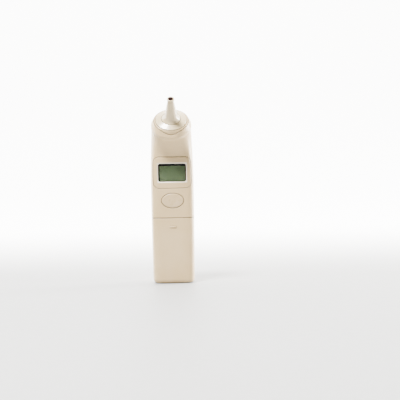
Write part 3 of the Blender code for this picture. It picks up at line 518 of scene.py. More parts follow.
# ---------------------------------------------------------------- display bezel
# Separate moulding in the same ABS that follows the casing's front, parted from it by a fine groove.
# Its window opening has a rounded edge, and the wall behind it is as thin as the casing.


def looped(rows):
    """Closed solid from rings of points, the last ring joined to the first."""
    return [np.stack(rows + rows[:1])]


def outline(centre_z, half_x, half_z, corner, angles):
    """x and z of a rounded rectangle, or of an oval where corner is None, at true angles."""
    size = reach(angles, half_x, half_z, corner)
    return size * np.cos(angles), centre_z + size * np.sin(angles)


WINDOW_CENTRE, WINDOW_HALF, WINDOW_CORNER = 99.85 * MM, (12.5 * MM, 8.15 * MM), 1.8 * MM
WINDOW_FRONT, WINDOW_BACK = -10.9 * MM, -10.1 * MM
BEZEL_ROUND, WINDOW_ROUND = 0.45 * MM, 0.8 * MM

window_angles = corner_angles(*WINDOW_HALF, WINDOW_CORNER, 22, 14)


def bezel_ring(grow):
    """Bezel's outer outline, drawn out by grow."""
    half_x, half_z = BEZEL_SIZE[0] / 2.0, BEZEL_SIZE[1] / 2.0
    return outline(BEZEL_CENTRE, half_x + grow, half_z + grow, BEZEL_CORNER + grow, window_angles)


def window_ring(grow):
    """Window opening's outline, drawn out by grow."""
    half_x, half_z = WINDOW_HALF
    return outline(WINDOW_CENTRE, half_x + grow, half_z + grow, WINDOW_CORNER + grow, window_angles)


outer_away, outer_deep = quarter(BEZEL_ROUND, 5)
inner_away, inner_deep = quarter(WINDOW_ROUND, 6)
bezel_rows = [skin_at(*bezel_ring(-away), deep)
              for away, deep in zip(outer_away[::-1], outer_deep[::-1])]
edge_f, edge_s = place_on_skin(*bezel_ring(-BEZEL_ROUND))
hole_f, hole_s = place_on_skin(*window_ring(WINDOW_ROUND))
bezel_rows += [skin(mix(edge_f, hole_f, t), mix(edge_s, hole_s, t))
               for t in np.linspace(0.03, 0.97, 16)]
bezel_rows += [skin_at(*window_ring(away), deep) for away, deep in zip(inner_away, inner_deep)]
back_f, back_s = place_on_skin(*window_ring(0.0), WALL)
rim_f, rim_s = place_on_skin(*bezel_ring(0.0), WALL)
bezel_rows += [skin(mix(back_f, rim_f, t), mix(back_s, rim_s, t), WALL)
               for t in np.linspace(0.0, 1.0, 14)]
# The same plastic, with a pale highlight painted along the lip of the window opening.
bezel_plastic, tree, shader, where = material(
    "ABS, injection moulded, painted lip highlight", *WARM_ABS, crease_shade=0.7, IOR=1.53)
# Painted highlight: a pale band round the window opening's edge.
lip_highlight = product(tree, near(tree, where, 0, 0.0, 0.4, 13.1), near(tree, where, 2, 99.85, 0.4, 8.75),
                    field(tree, where, 6.0, 0.6, 1.0))
tinted(tree, shader, lip_highlight, "#f3ead8")
piece("display_bezel_frame", looped(bezel_rows), "handle", "display_bezel", bezel_plastic)

# ---------------------------------------------------------------- display window
# Clear acrylic plate, laser cut with softened edges, bonded behind the bezel.
# Its gloss gives the one sharp reflection on the front.


def plate_y(middle, half_x, half_z, corner, front, back, edge):
    """Plate square to y about middle (x, z), its outline drawn in by edge (1 - cos t) at each face."""
    angles = corner_angles(half_x, half_z, corner, 6, 6)
    drop = edge * (1.0 - np.cos(np.linspace(math.pi / 2.0, 0.0, 5)))
    depth = edge * (1.0 - np.sin(np.linspace(math.pi / 2.0, 0.0, 5)))
    levels = [(0.3 * MM, front)] + [(d, front + y) for d, y in zip(drop, depth)]
    levels += [(d, back - y) for d, y in zip(drop[::-1], depth[::-1])] + [(0.3 * MM, back)]
    rings = []
    for inset, y in levels:
        x, z = outline(
            middle[1], half_x - inset, half_z - inset, max(corner - inset, 0.01 * MM), angles)
        rings.append(np.stack([middle[0] + x, y + 0.0 * x, z], -1))
    ends = [np.broadcast_to(ring[:-1].mean(0), ring.shape) for ring in (rings[0], rings[-1])]
    return [np.stack([ends[0]] + rings + [ends[1]])]


# Clear and glossy: the LCD shows through it, and faint wipe marks soften its reflections.
clear_acrylic = material("Acrylic, clear cast sheet", "#f4f6ee", "#eef2e8", 20.0, 0.05, 0.03, 0.6,
                         0.0005, scratch=0.1, Transmission_Weight=1.0, IOR=1.49)[0]
window_plate = plate_y(
    (0.0, WINDOW_CENTRE), 13.25 * MM, 8.9 * MM, 0.8 * MM, WINDOW_FRONT, WINDOW_BACK, 0.12 * MM)
piece("display_window_plate", window_plate, "handle", "display_window", clear_acrylic)

# ---------------------------------------------------------------- LCD
# Glass cell with a grey-green reflective polariser, unlit and blank, and a printed dark mask
# round its active area. It stands a little behind the window, so the opening throws a shadow on it;
# the mask is also painted wider at the top and left as the opening's shadow.

# The polariser's brushed foil makes the grey-green field shimmer a little; the printed mask is flat,
# and it reaches further in at the top and left as painted shadow.
lcd_glass, tree, shader, where = material("LCD glass, reflective polariser", "#879a78", "#7f9171", 9.0,
                                          0.34, 0.05, 0.12, 0.001, scratch=0.0, IOR=1.5)
stretched = add(tree, "Mapping", {"Vector": where, "Scale": (0.12, 1.0, 1.0)}).outputs[0]
tinted(tree, shader, field(tree, stretched, 0.3, 0.0, 0.16), "#46523e")
# Printed dark border, widened at the top and left: painted shadow of the window opening.
clear_area = product(
    tree, near(tree, where, 0, 0.35, 0.2, 11.35), near(tree, where, 2, 99.0, 0.25, 6.7))
mask = add(tree, "Math", {0: 1.0, 1: clear_area}, operation="SUBTRACT").outputs[0]
tinted(tree, shader, mask, "#11120d")
lcd_plate = plate_y(
    (0.0, WINDOW_CENTRE), 13.0 * MM, 10.0 * MM, 0.3 * MM, -9.7 * MM, -7.7 * MM, 0.1 * MM)
piece("lcd_cell", lcd_plate, "handle", "lcd_panel", lcd_glass)

# ---------------------------------------------------------------- start button
# Oval push button, moulded in ABS with a polished, slightly crowned face.
# A flange behind the casing keeps it in, and a short post presses the switch.

BUTTON_FRONT = -13.45 * MM
# Smoother than the casing, so its crown holds a soft highlight, and smudged where the thumb rests.
button_plastic = material(
    "ABS, polished mould", "#cbb187", "#c3a87c", 12.0, 0.30, 0.06, 0.35, 0.003, crease_shade=0.8, IOR=1.53)[0]
button_turn = np.linspace(0.0, 2.0 * math.pi, 97)
soft = np.linspace(0.0, 1.0, 9)
button_levels = [(share, BUTTON_FRONT + 0.25 * MM * share ** 2) for share in (0.0, 0.3, 0.55, 0.75)]
button_levels += [(1.0 - 0.13 * (1.0 - math.sin(t * math.pi / 2.0)),
                   BUTTON_FRONT + 0.2 * MM + 0.9 * MM * (1.0 - math.cos(t * math.pi / 2.0)))
                  for t in soft]
button_levels += [(1.0, -10.9 * MM), (1.0, -10.7 * MM), (1.11, -10.7 * MM), (1.12, -10.6 * MM),
                  (1.12, -10.0 * MM), (1.11, -9.95 * MM), (0.2, -9.95 * MM), (0.19, -9.8 * MM),
                  (0.0, -9.8 * MM)]
button_rings = [np.stack([share * BUTTON_SEMI_AXES[0] * np.cos(button_turn), y + 0.0 * button_turn,
                          BUTTON_CENTRE + share * BUTTON_SEMI_AXES[1] * np.sin(button_turn)], -1)
                for share, y in button_levels]
piece("start_button_cap", [np.stack(button_rings)], "start_button", "start_button",
      button_plastic)

# ---------------------------------------------------------------- head collar
# Moulded ABS collar that caps the neck. Its rim is rounded; its upper edge dips to a blunt V at the
# front, where the retaining ring meets it.

COLLAR_HEIGHT = 3.2 * MM
RIM_RISE, RIM_RISE_TURN, RIM_LEAN = 2.8, math.radians(52.0), 0.25


def rounded(points, radii, steps=5, closed=True):
    """Polyline with its corners rounded, vectorised over leading axes: points (..., n, 2).

    A corner P with cut ends A and B becomes (1 - t)^2 A + 2 t (1 - t) P + t^2 B, with a support
    point just beyond each end that keeps the flat faces flat.
    """
    points = np.asarray(points, float)
    count = points.shape[-2]
    made = []
    for i, radius in enumerate(radii):
        here = points[..., i, :]
        if not radius or (not closed and i in (0, count - 1)):
            made.append(here)
            continue
        before, after = points[..., i - 1, :] - here, points[..., (i + 1) % count, :] - here
        length_in = np.linalg.norm(before, axis=-1, keepdims=True)
        length_out = np.linalg.norm(after, axis=-1, keepdims=True)
        cut_in = np.minimum(radius, 0.38 * length_in) * before / length_in
        cut_out = np.minimum(radius, 0.38 * length_out) * after / length_out
        made.append(here + 1.25 * cut_in)
        made += [here + (1 - t) ** 2 * cut_in + t ** 2 * cut_out for t in np.linspace(0.0, 1.0, steps)]
        made.append(here + 1.25 * cut_out)
    return np.stack(made, -2)


def turned(profile, steps=144):
    """Surface turned about the head's axis from (radius, height) in mm, set in the row frame.

    The head's origin is the rim plane's centre; its axis is the centre line's direction at the end.
    """
    profile = np.asarray(profile, float) * MM
    turn = np.linspace(0.0, 2.0 * math.pi, steps + 1)
    if profile.ndim == 2:
        profile = np.broadcast_to(profile, (steps + 1,) + profile.shape)
    radius, height = profile[..., 0].T, profile[..., 1].T + COLLAR_HEIGHT
    x, across = radius * np.cos(turn), radius * np.sin(turn)
    middle_y = -BEND_RADIUS * (1.0 - math.cos(HEAD_TILT))
    middle_z = BEND_START + BEND_RADIUS * math.sin(HEAD_TILT)
    y = middle_y + across * math.cos(HEAD_TILT) - height * math.sin(HEAD_TILT)
    z = middle_z + across * math.sin(HEAD_TILT) + height * math.cos(HEAD_TILT)
    return np.stack([x, y, z], -1)


def closed_loop(profile):
    """Profile with its first point repeated at the end."""
    return np.concatenate([profile, profile[..., :1, :]], -2)


def with_angle(turn, *columns):
    """Profile (turns, n, 2) from (radius, height) pairs that may be numbers or arrays over the turn."""
    return np.stack(
        [np.stack(np.broadcast_arrays(r + 0.0 * turn, h + 0.0 * turn), -1) for r, h in columns], -2)


collar_turn = np.linspace(0.0, 2.0 * math.pi, 241)
from_front = np.abs(np.mod(collar_turn + math.pi / 2.0 + math.pi, 2.0 * math.pi) - math.pi)
climb = np.minimum(from_front / RIM_RISE_TURN, 1.0) ** 1.25
climb = RIM_RISE * climb * (1.5 - 0.5 * climb ** 2)
collar_edge = 16.5 - RIM_LEAN * climb
collar = with_angle(
    collar_turn, (13.1, -7.0), (13.1, -3.2), (18.0, -3.2), (18.0, -0.05), (collar_edge, 1.6 + climb),
    (collar_edge - 0.25, 1.6 + climb), (collar_edge - 0.3, 0.1), (12.8, 0.1), (12.8, 2.4), (10.5, 2.4),
    (10.5, -2.0), (11.7, -3.6), (11.7, -7.0))
collar = rounded(collar, [0, 0, 0.6, 0.55, 0.25, 0.1, 0, 0, 0, 0, 0, 0, 0])
piece("head_collar_cap", [turned(closed_loop(collar), 240)], "handle", "head_collar",
      casing_plastic)

# ---------------------------------------------------------------- retaining ring
# Moulded ABS ring inside the collar that clamps the base plate; its outer edge follows the collar's.

ring_edge = 15.8 - RIM_LEAN * climb
ring_top = 1.9 + climb
ring = with_angle(collar_turn, (ring_edge, 0.4), (ring_edge, ring_top),
                  (mix(ring_edge, 14.35, 0.5) + 0.15, mix(ring_top, 5.05, 0.5)), (14.35, 5.05),
                  (14.05, 5.05), (14.05, 4.3), (13.1, 4.3), (13.1, 0.4))
ring = rounded(ring, [0, 0.45, 0.5, 0.2, 0.1, 0, 0, 0])
piece("retaining_ring_moulding", [turned(closed_loop(ring), 240)], "handle", "retaining_ring",
      casing_plastic)

# ---------------------------------------------------------------- probe
# Base plate, tapered nozzle and the small ring at its tip: polypropylene in a polished mould, a
# little glossier and paler than the casing. The nozzle's cone flares to its foot as exp(-h / 1.8 mm).

# Waxy, under a light clear coat, with long highlights down the cone.
probe_plastic = material(
    "Polypropylene, polished mould", "#cfbc96", "#c6b289", 14.0, 0.24, 0.05, 0.5, 0.002, scratch=0.2,
    crease_shade=0.8, IOR=1.49, Coat_Weight=0.25, Coat_Roughness=0.12)[0]
plate = rounded([(8.7, 7.15), (13.75, 5.72), (13.75, 4.7), (10.3, 4.7), (10.3, 6.0), (8.7, 6.0)],
                [0.15, 0.3, 0.1, 0, 0, 0])
piece("probe_base_plate_disc", [turned(closed_loop(plate), 180)], "handle", "probe_base_plate",
      probe_plastic)

rise_of_nozzle = np.linspace(0.0, 1.0, 44) ** 1.6
nozzle_height = mix(7.2, 27.55, rise_of_nozzle)
nozzle_radius = 2.9 + 0.165 * (27.5 - nozzle_height) + 2.1 * np.exp(-(nozzle_height - 7.2) / 1.8)
nozzle = np.concatenate([[(5.4, 4.9), (9.9, 4.9), (9.9, 5.7), (8.3, 5.7)],
                         np.stack([nozzle_radius, nozzle_height], -1),
                         [(2.8, 27.66), (2.7, 27.7), (2.3, 27.7), (2.3, 10.6), (5.4, 8.6)]])
piece("probe_nozzle_cone", [turned(closed_loop(nozzle), 128)], "handle", "probe_nozzle",
      probe_plastic)

tip_ring = rounded([(2.35, 28.0), (3.2, 28.0), (3.2, 29.9), (2.35, 29.9)], [0.05, 0.12, 0.5, 0.2])
piece("probe_lens_ring_tip", [turned(closed_loop(tip_ring), 96)], "handle", "probe_lens_ring",
      probe_plastic)

# ---------------------------------------------------------------- lens, sensor and seal
# Coated silicon lens in the tip, the gold-plated tube behind it, and the sensor can in its
# aluminium block. The seal is a silicone O-ring.

# Dark brown mirror, with the coating's faint purple drift.
lens_silicon = material("Silicon lens, antireflection coated", "#3a2618", "#30202a", 1.2, 0.12, 0.04,
                        0.1, 0.0003, scratch=0.0, metallic=0.6)[0]
lens = rounded([(0.0, 28.8), (2.0, 28.8), (2.0, 29.2), (0.0, 29.2)], [0, 0.06, 0.06, 0], closed=False)
piece("probe_lens_disc", [turned(lens, 64)], "handle", "probe_lens", lens_silicon)

# Drawn tube: a soft gold with a fine grain.
gold_plate = material(
    "Gold plating on drawn copper", "#e0b257", "#d2a148", 3.0, 0.2, 0.06, 0.08, 0.002, metallic=1.0)[0]
tube = rounded([(1.5, 8.1), (1.9, 8.1), (1.9, 28.5), (1.5, 28.5)], [0.05, 0.05, 0.05, 0.05])
piece("waveguide_tube_drawn", [turned(closed_loop(tube), 64)], "handle", "waveguide_tube",
      gold_plate)

# Turned aluminium: a fine grain with smudged roughness.
milled_aluminium = material(
    "Aluminium, turned", "#c9cacc", "#b4b6b9", 4.0, 0.32, 0.08, 0.1, 0.006, metallic=1.0)[0]
block = rounded([(2.75, 2.5), (5.0, 2.5), (5.0, 8.3), (2.75, 8.3)], [0.2, 0.2, 0.2, 0.2])
piece("sensor_block_turned", [turned(closed_loop(block), 96)], "handle", "sensor_block",
      milled_aluminium)

# Zinc plating: bright, cloudy, with a hint of blue and dull specks.
zinc_steel = material(
    "Steel, zinc plated", "#bdbdba", "#9fa2a4", 1.6, 0.28, 0.1, 0.15, 0.004, metallic=1.0)[0]
can = rounded([(0.0, 3.0), (2.4, 3.0), (2.4, 3.5), (2.1, 3.55), (2.1, 7.7), (0.0, 7.7)],
              [0, 0.1, 0.1, 0.05, 0.25, 0], closed=False)
piece("thermopile_sensor_can", [turned(can, 64)], "handle", "thermopile_sensor",
      zinc_steel)

# Soft black rubber: matt with a dusty bloom.
silicone = material(
    "Silicone rubber, moulded", "#2a2a2a", "#3a3936", 2.5, 0.62, 0.08, 0.2, 0.008, scratch=0.0)[0]
seal_turn = np.linspace(0.0, 2.0 * math.pi, 25)
seal = np.stack([11.5 + 0.8 * np.cos(seal_turn), 3.55 + 0.8 * np.sin(seal_turn)], -1)
piece("probe_seal_o_ring", [turned(seal, 128)], "handle", "probe_seal_ring", silicone)

# Glossy green lacquer over copper tracks that show as paler lines, with small tinned holes.
fibreglass, tree, shader, where = material("Glass-epoxy laminate, green solder mask", "#1d5c37",
                                           "#174f30", 8.0, 0.34, 0.06, 0.4, 0.003, IOR=1.5)
squared = add(tree, "Mapping", {"Vector": where, "Rotation": (math.radians(90.0), 0.0, 0.0)}).outputs[0]
bricks = {"Vector": squared, "Scale": 520.0, "Mortar Size": 0.03, "Mortar Smooth": 0.1,
          "Brick Width": 1.3, "Row Height": 0.5}
tracks = add(tree, "TexBrick", bricks).outputs["Fac"]
tinted(tree, shader, product(tree, tracks, field(tree, where, 5.0, 0.0, 0.8, (0.48, 0.52))), "#3f8a52")
holes = add(tree, "TexVoronoi", {"Vector": where, "Scale": 340.0, "Randomness": 0.6}).outputs[0]
holes = add(tree, "MapRange", {0: holes, 1: 0.12, 2: 0.14, 3: 1.0, 4: 0.0}).outputs[0]
tinted(tree, shader, product(tree, holes, field(tree, where, 6.0, 0.0, 1.0, (0.5, 0.52))), "#b9b6a8")
sensor_board = rounded(
    [(0.0, 1.2), (9.0, 1.2), (9.0, 2.2), (0.0, 2.2)], [0, 0.08, 0.08, 0], closed=False)
piece("sensor_circuit_board_disc", [turned(sensor_board, 96)], "handle", "sensor_circuit_board",
      fibreglass)

# ---------------------------------------------------------------- main circuit board and its parts
# Glass-epoxy board screwed behind the button. Soldered to it: a quad flat chip, a small memory chip,
# a crystal in a drawn can, an aluminium capacitor, a buzzer, the flex connector and the tact switch.

BOARD_BACK = -4.0 * MM
PART_SEAT = BOARD_BACK + GAP


def dress(nodes, look):
    """Give CAD nodes that are carried over their material."""
    for name in nodes:
        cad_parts[name].data.materials.clear()
        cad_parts[name].data.materials.append(look)


LEG_REACH, LEG_HEIGHT, LEG_HALF_WIDTH, LEG_THICKNESS = 0.78 * MM, 0.7 * MM, 0.15 * MM, 0.15 * MM


def legs(x, z, out_along_x, count, pitch, side):
    """Gull-wing legs along one side of a chip: a thin strip that steps down to the board."""
    out = side * LEG_REACH * np.array([-0.3, 0.0, 0.25, 0.45, 1.0])
    level = PART_SEAT + LEG_HEIGHT * np.array([1.0, 1.0, 0.9, 0.12, 0.0])
    patches = []
    for step in range(count):
        section = []
        for half, thick in ((-1.0, 0.0), (1.0, 0.0), (1.0, 1.0), (-1.0, 1.0), (-1.0, 0.0)):
            across = (step - (count - 1) / 2.0) * pitch + half * LEG_HALF_WIDTH + 0.0 * out
            off_x, off_z = (out, across) if out_along_x else (across, out)
            section.append(np.stack([x + off_x, level + thick * LEG_THICKNESS, z + off_z], -1))
        ring = np.stack(section, 1)
        ends = [np.broadcast_to(ring[i, :4].mean(0), ring[0].shape)[None] for i in (0, -1)]
        patches.append(np.concatenate([ends[0], ring, ends[1]]))
    return patches


# Moulded epoxy: matt black with a fine sandy skin.
black_epoxy = material(
    "Epoxy, transfer moulded black", "#1f1f20", "#272626", 1.5, 0.5, 0.07, 0.09, 0.006)[0]
# Tinned legs and cans: soft silver with dull patches.
nickel = material("Nickel plating on phosphor bronze", "#c3beb2", "#aaa598", 2.0, 0.26, 0.08, 0.12,
                  0.002, metallic=1.0)[0]
dress(["main_circuit_board"], fibreglass)


def chip(name, node, place, half_x, half_z, high, sides, count, pitch):
    """Leaded chip, sizes in mm: a moulded body over gull-wing legs, which are tinned metal."""
    x, z = place
    body = plate_y((x * MM, z * MM), half_x * MM, half_z * MM, 0.25 * MM, PART_SEAT + 0.15 * MM,
                   PART_SEAT + high * MM, 0.12 * MM)
    for side in (-1.0, 1.0):
        if sides == 4:
            body += legs((x + side * half_x) * MM, z * MM, True, count, pitch * MM, side)
        body += legs(x * MM, (z + side * half_z) * MM, False, count, pitch * MM, side)
    look, tree, shader, where = material(
        "Epoxy chip with tinned legs", "#1f1f20", "#272626", 1.5, 0.5, 0.07, 0.09, 0.006)
    moulded = product(
        tree, near(tree, where, 0, x, 0.02, half_x), near(tree, where, 2, z, 0.02, half_z))
    legs_share = add(tree, "Math", {0: 1.0, 1: moulded}, operation="SUBTRACT").outputs[0]
    tinted(tree, shader, legs_share, "#c9c6bd")
    tree.links.new(legs_share, shader.inputs["Metallic"])
    piece(name, body, "handle", node, look)


chip("microcontroller_package", "microcontroller_chip", (0.0, 97.0), 4.2, 4.2, 1.5, 4, 12, 0.65)
chip("memory_package", "memory_chip", (-8.0, 86.0), 2.4, 1.4, 1.4, 2, 4, 1.27)
crystal = plate_y((8.6 * MM, 86.0 * MM), 2.1 * MM, 4.8 * MM, 1.9 * MM, PART_SEAT + 0.3 * MM,
                  PART_SEAT + 3.4 * MM, 0.5 * MM)
crystal += plate_y(
    (8.6 * MM, 86.0 * MM), 2.3 * MM, 5.0 * MM, 2.2 * MM, PART_SEAT, PART_SEAT + 0.45 * MM, 0.1 * MM)
piece("crystal_can_drawn", crystal, "handle", "crystal_can", nickel)


def turned_y(x, z, profile, radii):
    """Part turned about an axis along y: profile is (radius, y) from the front pole to the back."""
    return [tube_y(x, z, [tuple(point) for point in rounded(profile, radii, closed=False)])]


low, high = PART_SEAT / MM, PART_SEAT / MM + 5.4
capacitor = np.array([(0.0, low), (2.25, low), (2.25, low + 0.9), (2.05, low + 1.1), (2.3, low + 1.3),
                      (2.3, high), (0.0, high)]) * MM
piece("smoothing_capacitor_can",
      turned_y(9.0 * MM, 75.0 * MM, capacitor, [0, 1e-4, 1e-4, 1e-4, 1e-4, 4e-4, 0]), "handle",
      "smoothing_capacitor", milled_aluminium)
buzzer = np.array([(0.0, low), (6.5, low), (6.5, low + 2.6), (1.0, low + 2.6), (1.0, low + 1.6),
                   (0.0, low + 1.6)]) * MM
piece("buzzer_case", turned_y(0.0, 77.5 * MM, buzzer, [0, 2e-4, 5e-4, 1e-4, 0, 0]), "handle", "buzzer",
      black_epoxy)
plunger = np.array([(0.0, -9.5), (1.6, -9.5), (1.6, -7.7), (0.0, -7.7)]) * MM
white_abs = material(
    "ABS, natural white, moulded", "#d9d7cf", "#cfccc2", 20.0, 0.42, 0.06, 0.3, 0.005, crease_shade=0.4)[0]
piece("tact_switch_plunger_pin", turned_y(0.0, BUTTON_CENTRE, plunger, [0, 3e-4, 1e-4, 0]),
      "switch_plunger", "tact_switch_plunger", white_abs)
dress(["tact_switch_body"], black_epoxy)
dress(["lcd_holder", "battery_tray", "flex_connector"], white_abs)

# Elastomer strips: carbon-loaded layers show as fine dark stripes in grey silicone.
zebra, tree, shader, where = material(
    "Silicone with carbon layers", "#6f6d68", "#605e5a", 3.0, 0.6, 0.06, 0.2, 0.004, scratch=0.0)
stripes = add(tree, "TexWave", {"Vector": where, "Scale": 1800.0, "Distortion": 0.3},
              bands_direction="X").outputs[0]
tinted(tree, shader, stripes, "#1c1b1a", "MULTIPLY")
dress(["zebra_connector_lower", "zebra_connector_upper"], zebra)

# Polyimide film: amber, glossy, with copper tracks that run along it.
polyimide, tree, shader, where = material(
    "Polyimide film, copper tracks", "#a8642a", "#96561f", 5.0, 0.3, 0.06, 0.4, 0.002, scratch=0.1)
tracks = add(tree, "TexWave", {"Vector": where, "Scale": 320.0}, bands_direction="X").outputs[0]
tracks = add(tree, "MapRange", {0: tracks, 1: 0.45, 2: 0.6, 3: 0.0, 4: 0.7}).outputs[0]
tinted(tree, shader, tracks, "#c98a4e")
dress(["flex_cable"], polyimide)

# ---------------------------------------------------------------- screws
# Zinc-plated steel, pan heads with a cross recess and a rolled thread.
# Two from the back hold the housings together; two hold the board.


def screw(x, z, tip, seat, top, shaft, head, pitch):
    """Screw along y. Its thread is r = shaft (1 - 0.14 saw(y / pitch + turn)).

    The cross recess is cut into the head where |x| or |z| is small.
    """
    turn = np.linspace(0.0, 2.0 * math.pi, 65)
    share = np.linspace(0.0, 0.88, 22)[:, None]
    across, up = np.abs(share * np.cos(turn)), np.abs(share * np.sin(turn))
    slot_depth = 1 - rise(np.minimum(across, up), 0.1, 0.17)
    slot_depth = slot_depth * (1 - rise(np.maximum(across, up), 0.5, 0.66))
    face = top - (top - seat) * (0.22 * share ** 2 + 0.5 * slot_depth)
    radius = head * share + 0.0 * turn
    side = np.array([(0.95, 0.34), (0.99, 0.5), (1.0, 0.7), (0.98, 1.0)])[:, :, None]
    radius = np.concatenate([radius, head * side[:, 0] + 0.0 * turn])
    face = np.concatenate([face, top - (top - seat) * side[:, 1] + 0.0 * turn])
    level = np.linspace(seat, tip + shaft, 150)[:, None]
    groove = np.abs(np.mod(level / pitch + turn / (2.0 * math.pi), 1.0) - 0.5) * 2.0
    taper = np.concatenate([np.ones((149, 1)), np.full((1, 1), 0.8)])
    radius = np.concatenate([radius, shaft * taper * (1.0 - 0.14 * groove), 0.0 * turn[None]])
    face = np.concatenate([face, level + 0.0 * turn, tip + 0.0 * turn[None]])
    return [np.stack([x + radius * np.cos(turn), face, z + radius * np.sin(turn)], -1)]


housing = (-5.4 * MM, SCREW_SEAT + GAP, SCREW_SEAT + 1.9 * MM, 1.1 * MM, 2.2 * MM, 0.9 * MM)
board = (-8.9 * MM, PART_SEAT, PART_SEAT + 1.1 * MM, 0.8 * MM, 1.7 * MM, 0.6 * MM)
for name, x, z, sizes in (("housing_screw_lower", 0.0, HOUSING_SCREW_HEIGHTS[0], housing),
                          ("housing_screw_upper", 0.0, HOUSING_SCREW_HEIGHTS[1], housing),
                          ("board_screw_left", -11.5 * MM, 68.6 * MM, board),
                          ("board_screw_right", 11.5 * MM, 68.6 * MM, board)):
    piece(name + "_cross", screw(x, z, *sizes), "handle", name, zinc_steel, 40.0)

# ---------------------------------------------------------------- batteries and contacts
# Two AAA cells in printed film sleeves, shrunk over the crimped steel ends. Nickel-plated spring
# contacts press on their flat ends; two stranded leads run up to the board.

CELL_X, CELL_Y, CELL_LOW = 5.9 * MM, -3.0 * MM, 9.2 * MM
cell_profile = np.array([(0.0, 0.12), (3.7, 0.12), (3.9, 0.0), (4.7, 0.0), (5.05, 0.2), (5.05, 0.45),
                         (5.25, 0.7), (5.25, 42.6), (4.95, 43.1), (4.95, 43.3), (4.2, 43.5),
                         (3.2, 43.3), (1.95, 43.35), (1.9, 44.5), (0.0, 44.5)])
cell_corners = [0, 0.1, 0.1, 0.15, 0.1, 0.1, 0.15, 0.3, 0.1, 0.1, 0.2, 0.2, 0.15, 0.3, 0]
cell_profile = rounded(cell_profile, cell_corners, closed=False) * MM
cell_turn = np.linspace(0.0, 2.0 * math.pi, 97)
for name, x, up in (("battery_cell_left", -CELL_X, 1.0), ("battery_cell_right", CELL_X, -1.0)):
    base = CELL_LOW if up > 0 else (3.2 + 56.3) * MM - CELL_LOW
    radius, level = cell_profile[:, :1], base + up * cell_profile[:, 1:]
    rings = np.stack(
        [x + radius * np.cos(cell_turn), CELL_Y + radius * np.sin(cell_turn), level + 0.0 * cell_turn],
        -1)
    # The sleeve's gloss film wrinkles a little; a copper-coloured band marks the positive end.
    sleeve, tree, shader, where = material(name + " film sleeve", "#1f3d66", "#1b3659", 10.0, 0.26,
                                           0.07, 0.9, 0.01, scratch=0.3, Coat_Weight=0.4)
    middle = (base + up * 21.9 * MM) / MM
    band = near(tree, where, 2, middle + up * 17.0, 0.1, 3.8)
    tinted(tree, shader, band, "#a9683a")
    covered = near(tree, where, 2, middle, 0.1, 21.2)
    steel_share = add(tree, "Math", {0: 1.0, 1: covered}, operation="SUBTRACT").outputs[0]
    tinted(tree, shader, steel_share, "#b9b8b2")
    tree.links.new(steel_share, shader.inputs["Metallic"])
    piece(name + "_sleeved", [rings], "handle", name, sleeve)


def swept(path, radius, sides=14):
    """Round tube along a path of points, closed by flat ends; its section stays square to the path."""
    path = np.asarray(path, float)
    run = np.gradient(path, axis=0)
    run /= np.linalg.norm(run, axis=1, keepdims=True)
    side = np.cross(run, [0.31, 0.87, 0.38])
    side /= np.linalg.norm(side, axis=1, keepdims=True)
    other = np.cross(run, side)
    turn = np.linspace(0.0, 2.0 * math.pi, sides + 1)[None, :, None]
    rings = path[:, None] + radius * (side[:, None] * np.cos(turn) + other[:, None] * np.sin(turn))
    ends = [np.broadcast_to(path[i], rings[0].shape)[None] for i in (0, -1)]
    return [np.concatenate([ends[0], rings, ends[1]])]


for name, x, seat, up in (("battery_spring_lower", -CELL_X, 5.8 * MM, 1.0),
                          ("battery_spring_upper", CELL_X, 53.7 * MM, -1.0)):
    share = np.linspace(0.0, 1.0, 160)
    turn = 2.0 * math.pi * 2.6 * share
    radius = mix(3.4 * MM, 2.2 * MM, share)
    helix = np.stack(
        [x + radius * np.cos(turn), CELL_Y + radius * np.sin(turn), seat + up * share * 2.7 * MM], -1)
    piece(name + "_coil", swept(helix, 0.27 * MM), "handle", name, nickel)
dress(["battery_bridge_contact", "battery_contact_positive", "battery_contact_negative"], nickel)

route = np.array([(9.6, 0.5, 0.0), (9.6, 0.6, 4.0), (9.3, 0.9, 7.0), (8.4, 0.8, 9.6), (7.6, -0.2, 11.4),
                  (7.2, -1.6, 12.4), (7.0, -3.3, 12.8)]) * MM + [0.0, 0.0, 55.25 * MM]
walked = np.linspace(0.0, 6.0, 61)
smooth_route = np.stack([np.interp(walked, np.arange(7), route[:, axis]) for axis in range(3)], -1)
for _ in range(12):
    smooth_route[1:-1] = 0.25 * (smooth_route[:-2] + 2.0 * smooth_route[1:-1] + smooth_route[2:])
# Soft PVC sheath, slightly glossy.
for name, side, slot, colour, second in (
        ("battery_lead_positive", -1.0, "lead_red", "#a3271d", "#8f2119"),
        ("battery_lead_negative", 1.0, "lead_black", "#232323", "#2e2d2b")):
    sheath = material("PVC lead sheath, " + slot[5:], colour, second, 3.0, 0.4, 0.08, 0.4, 0.004)[0]
    piece(name + "_sheath", swept(smooth_route * [side, 1.0, 1.0], 0.5 * MM), "handle", name,
          sheath)

# ---------------------------------------------------------------- stage, lights and camera
# A pale matt floor that curves up into a backdrop, lit as a high-key studio: bright behind, with a
# large soft light from the upper left in front. The camera stands a metre away, just above level.

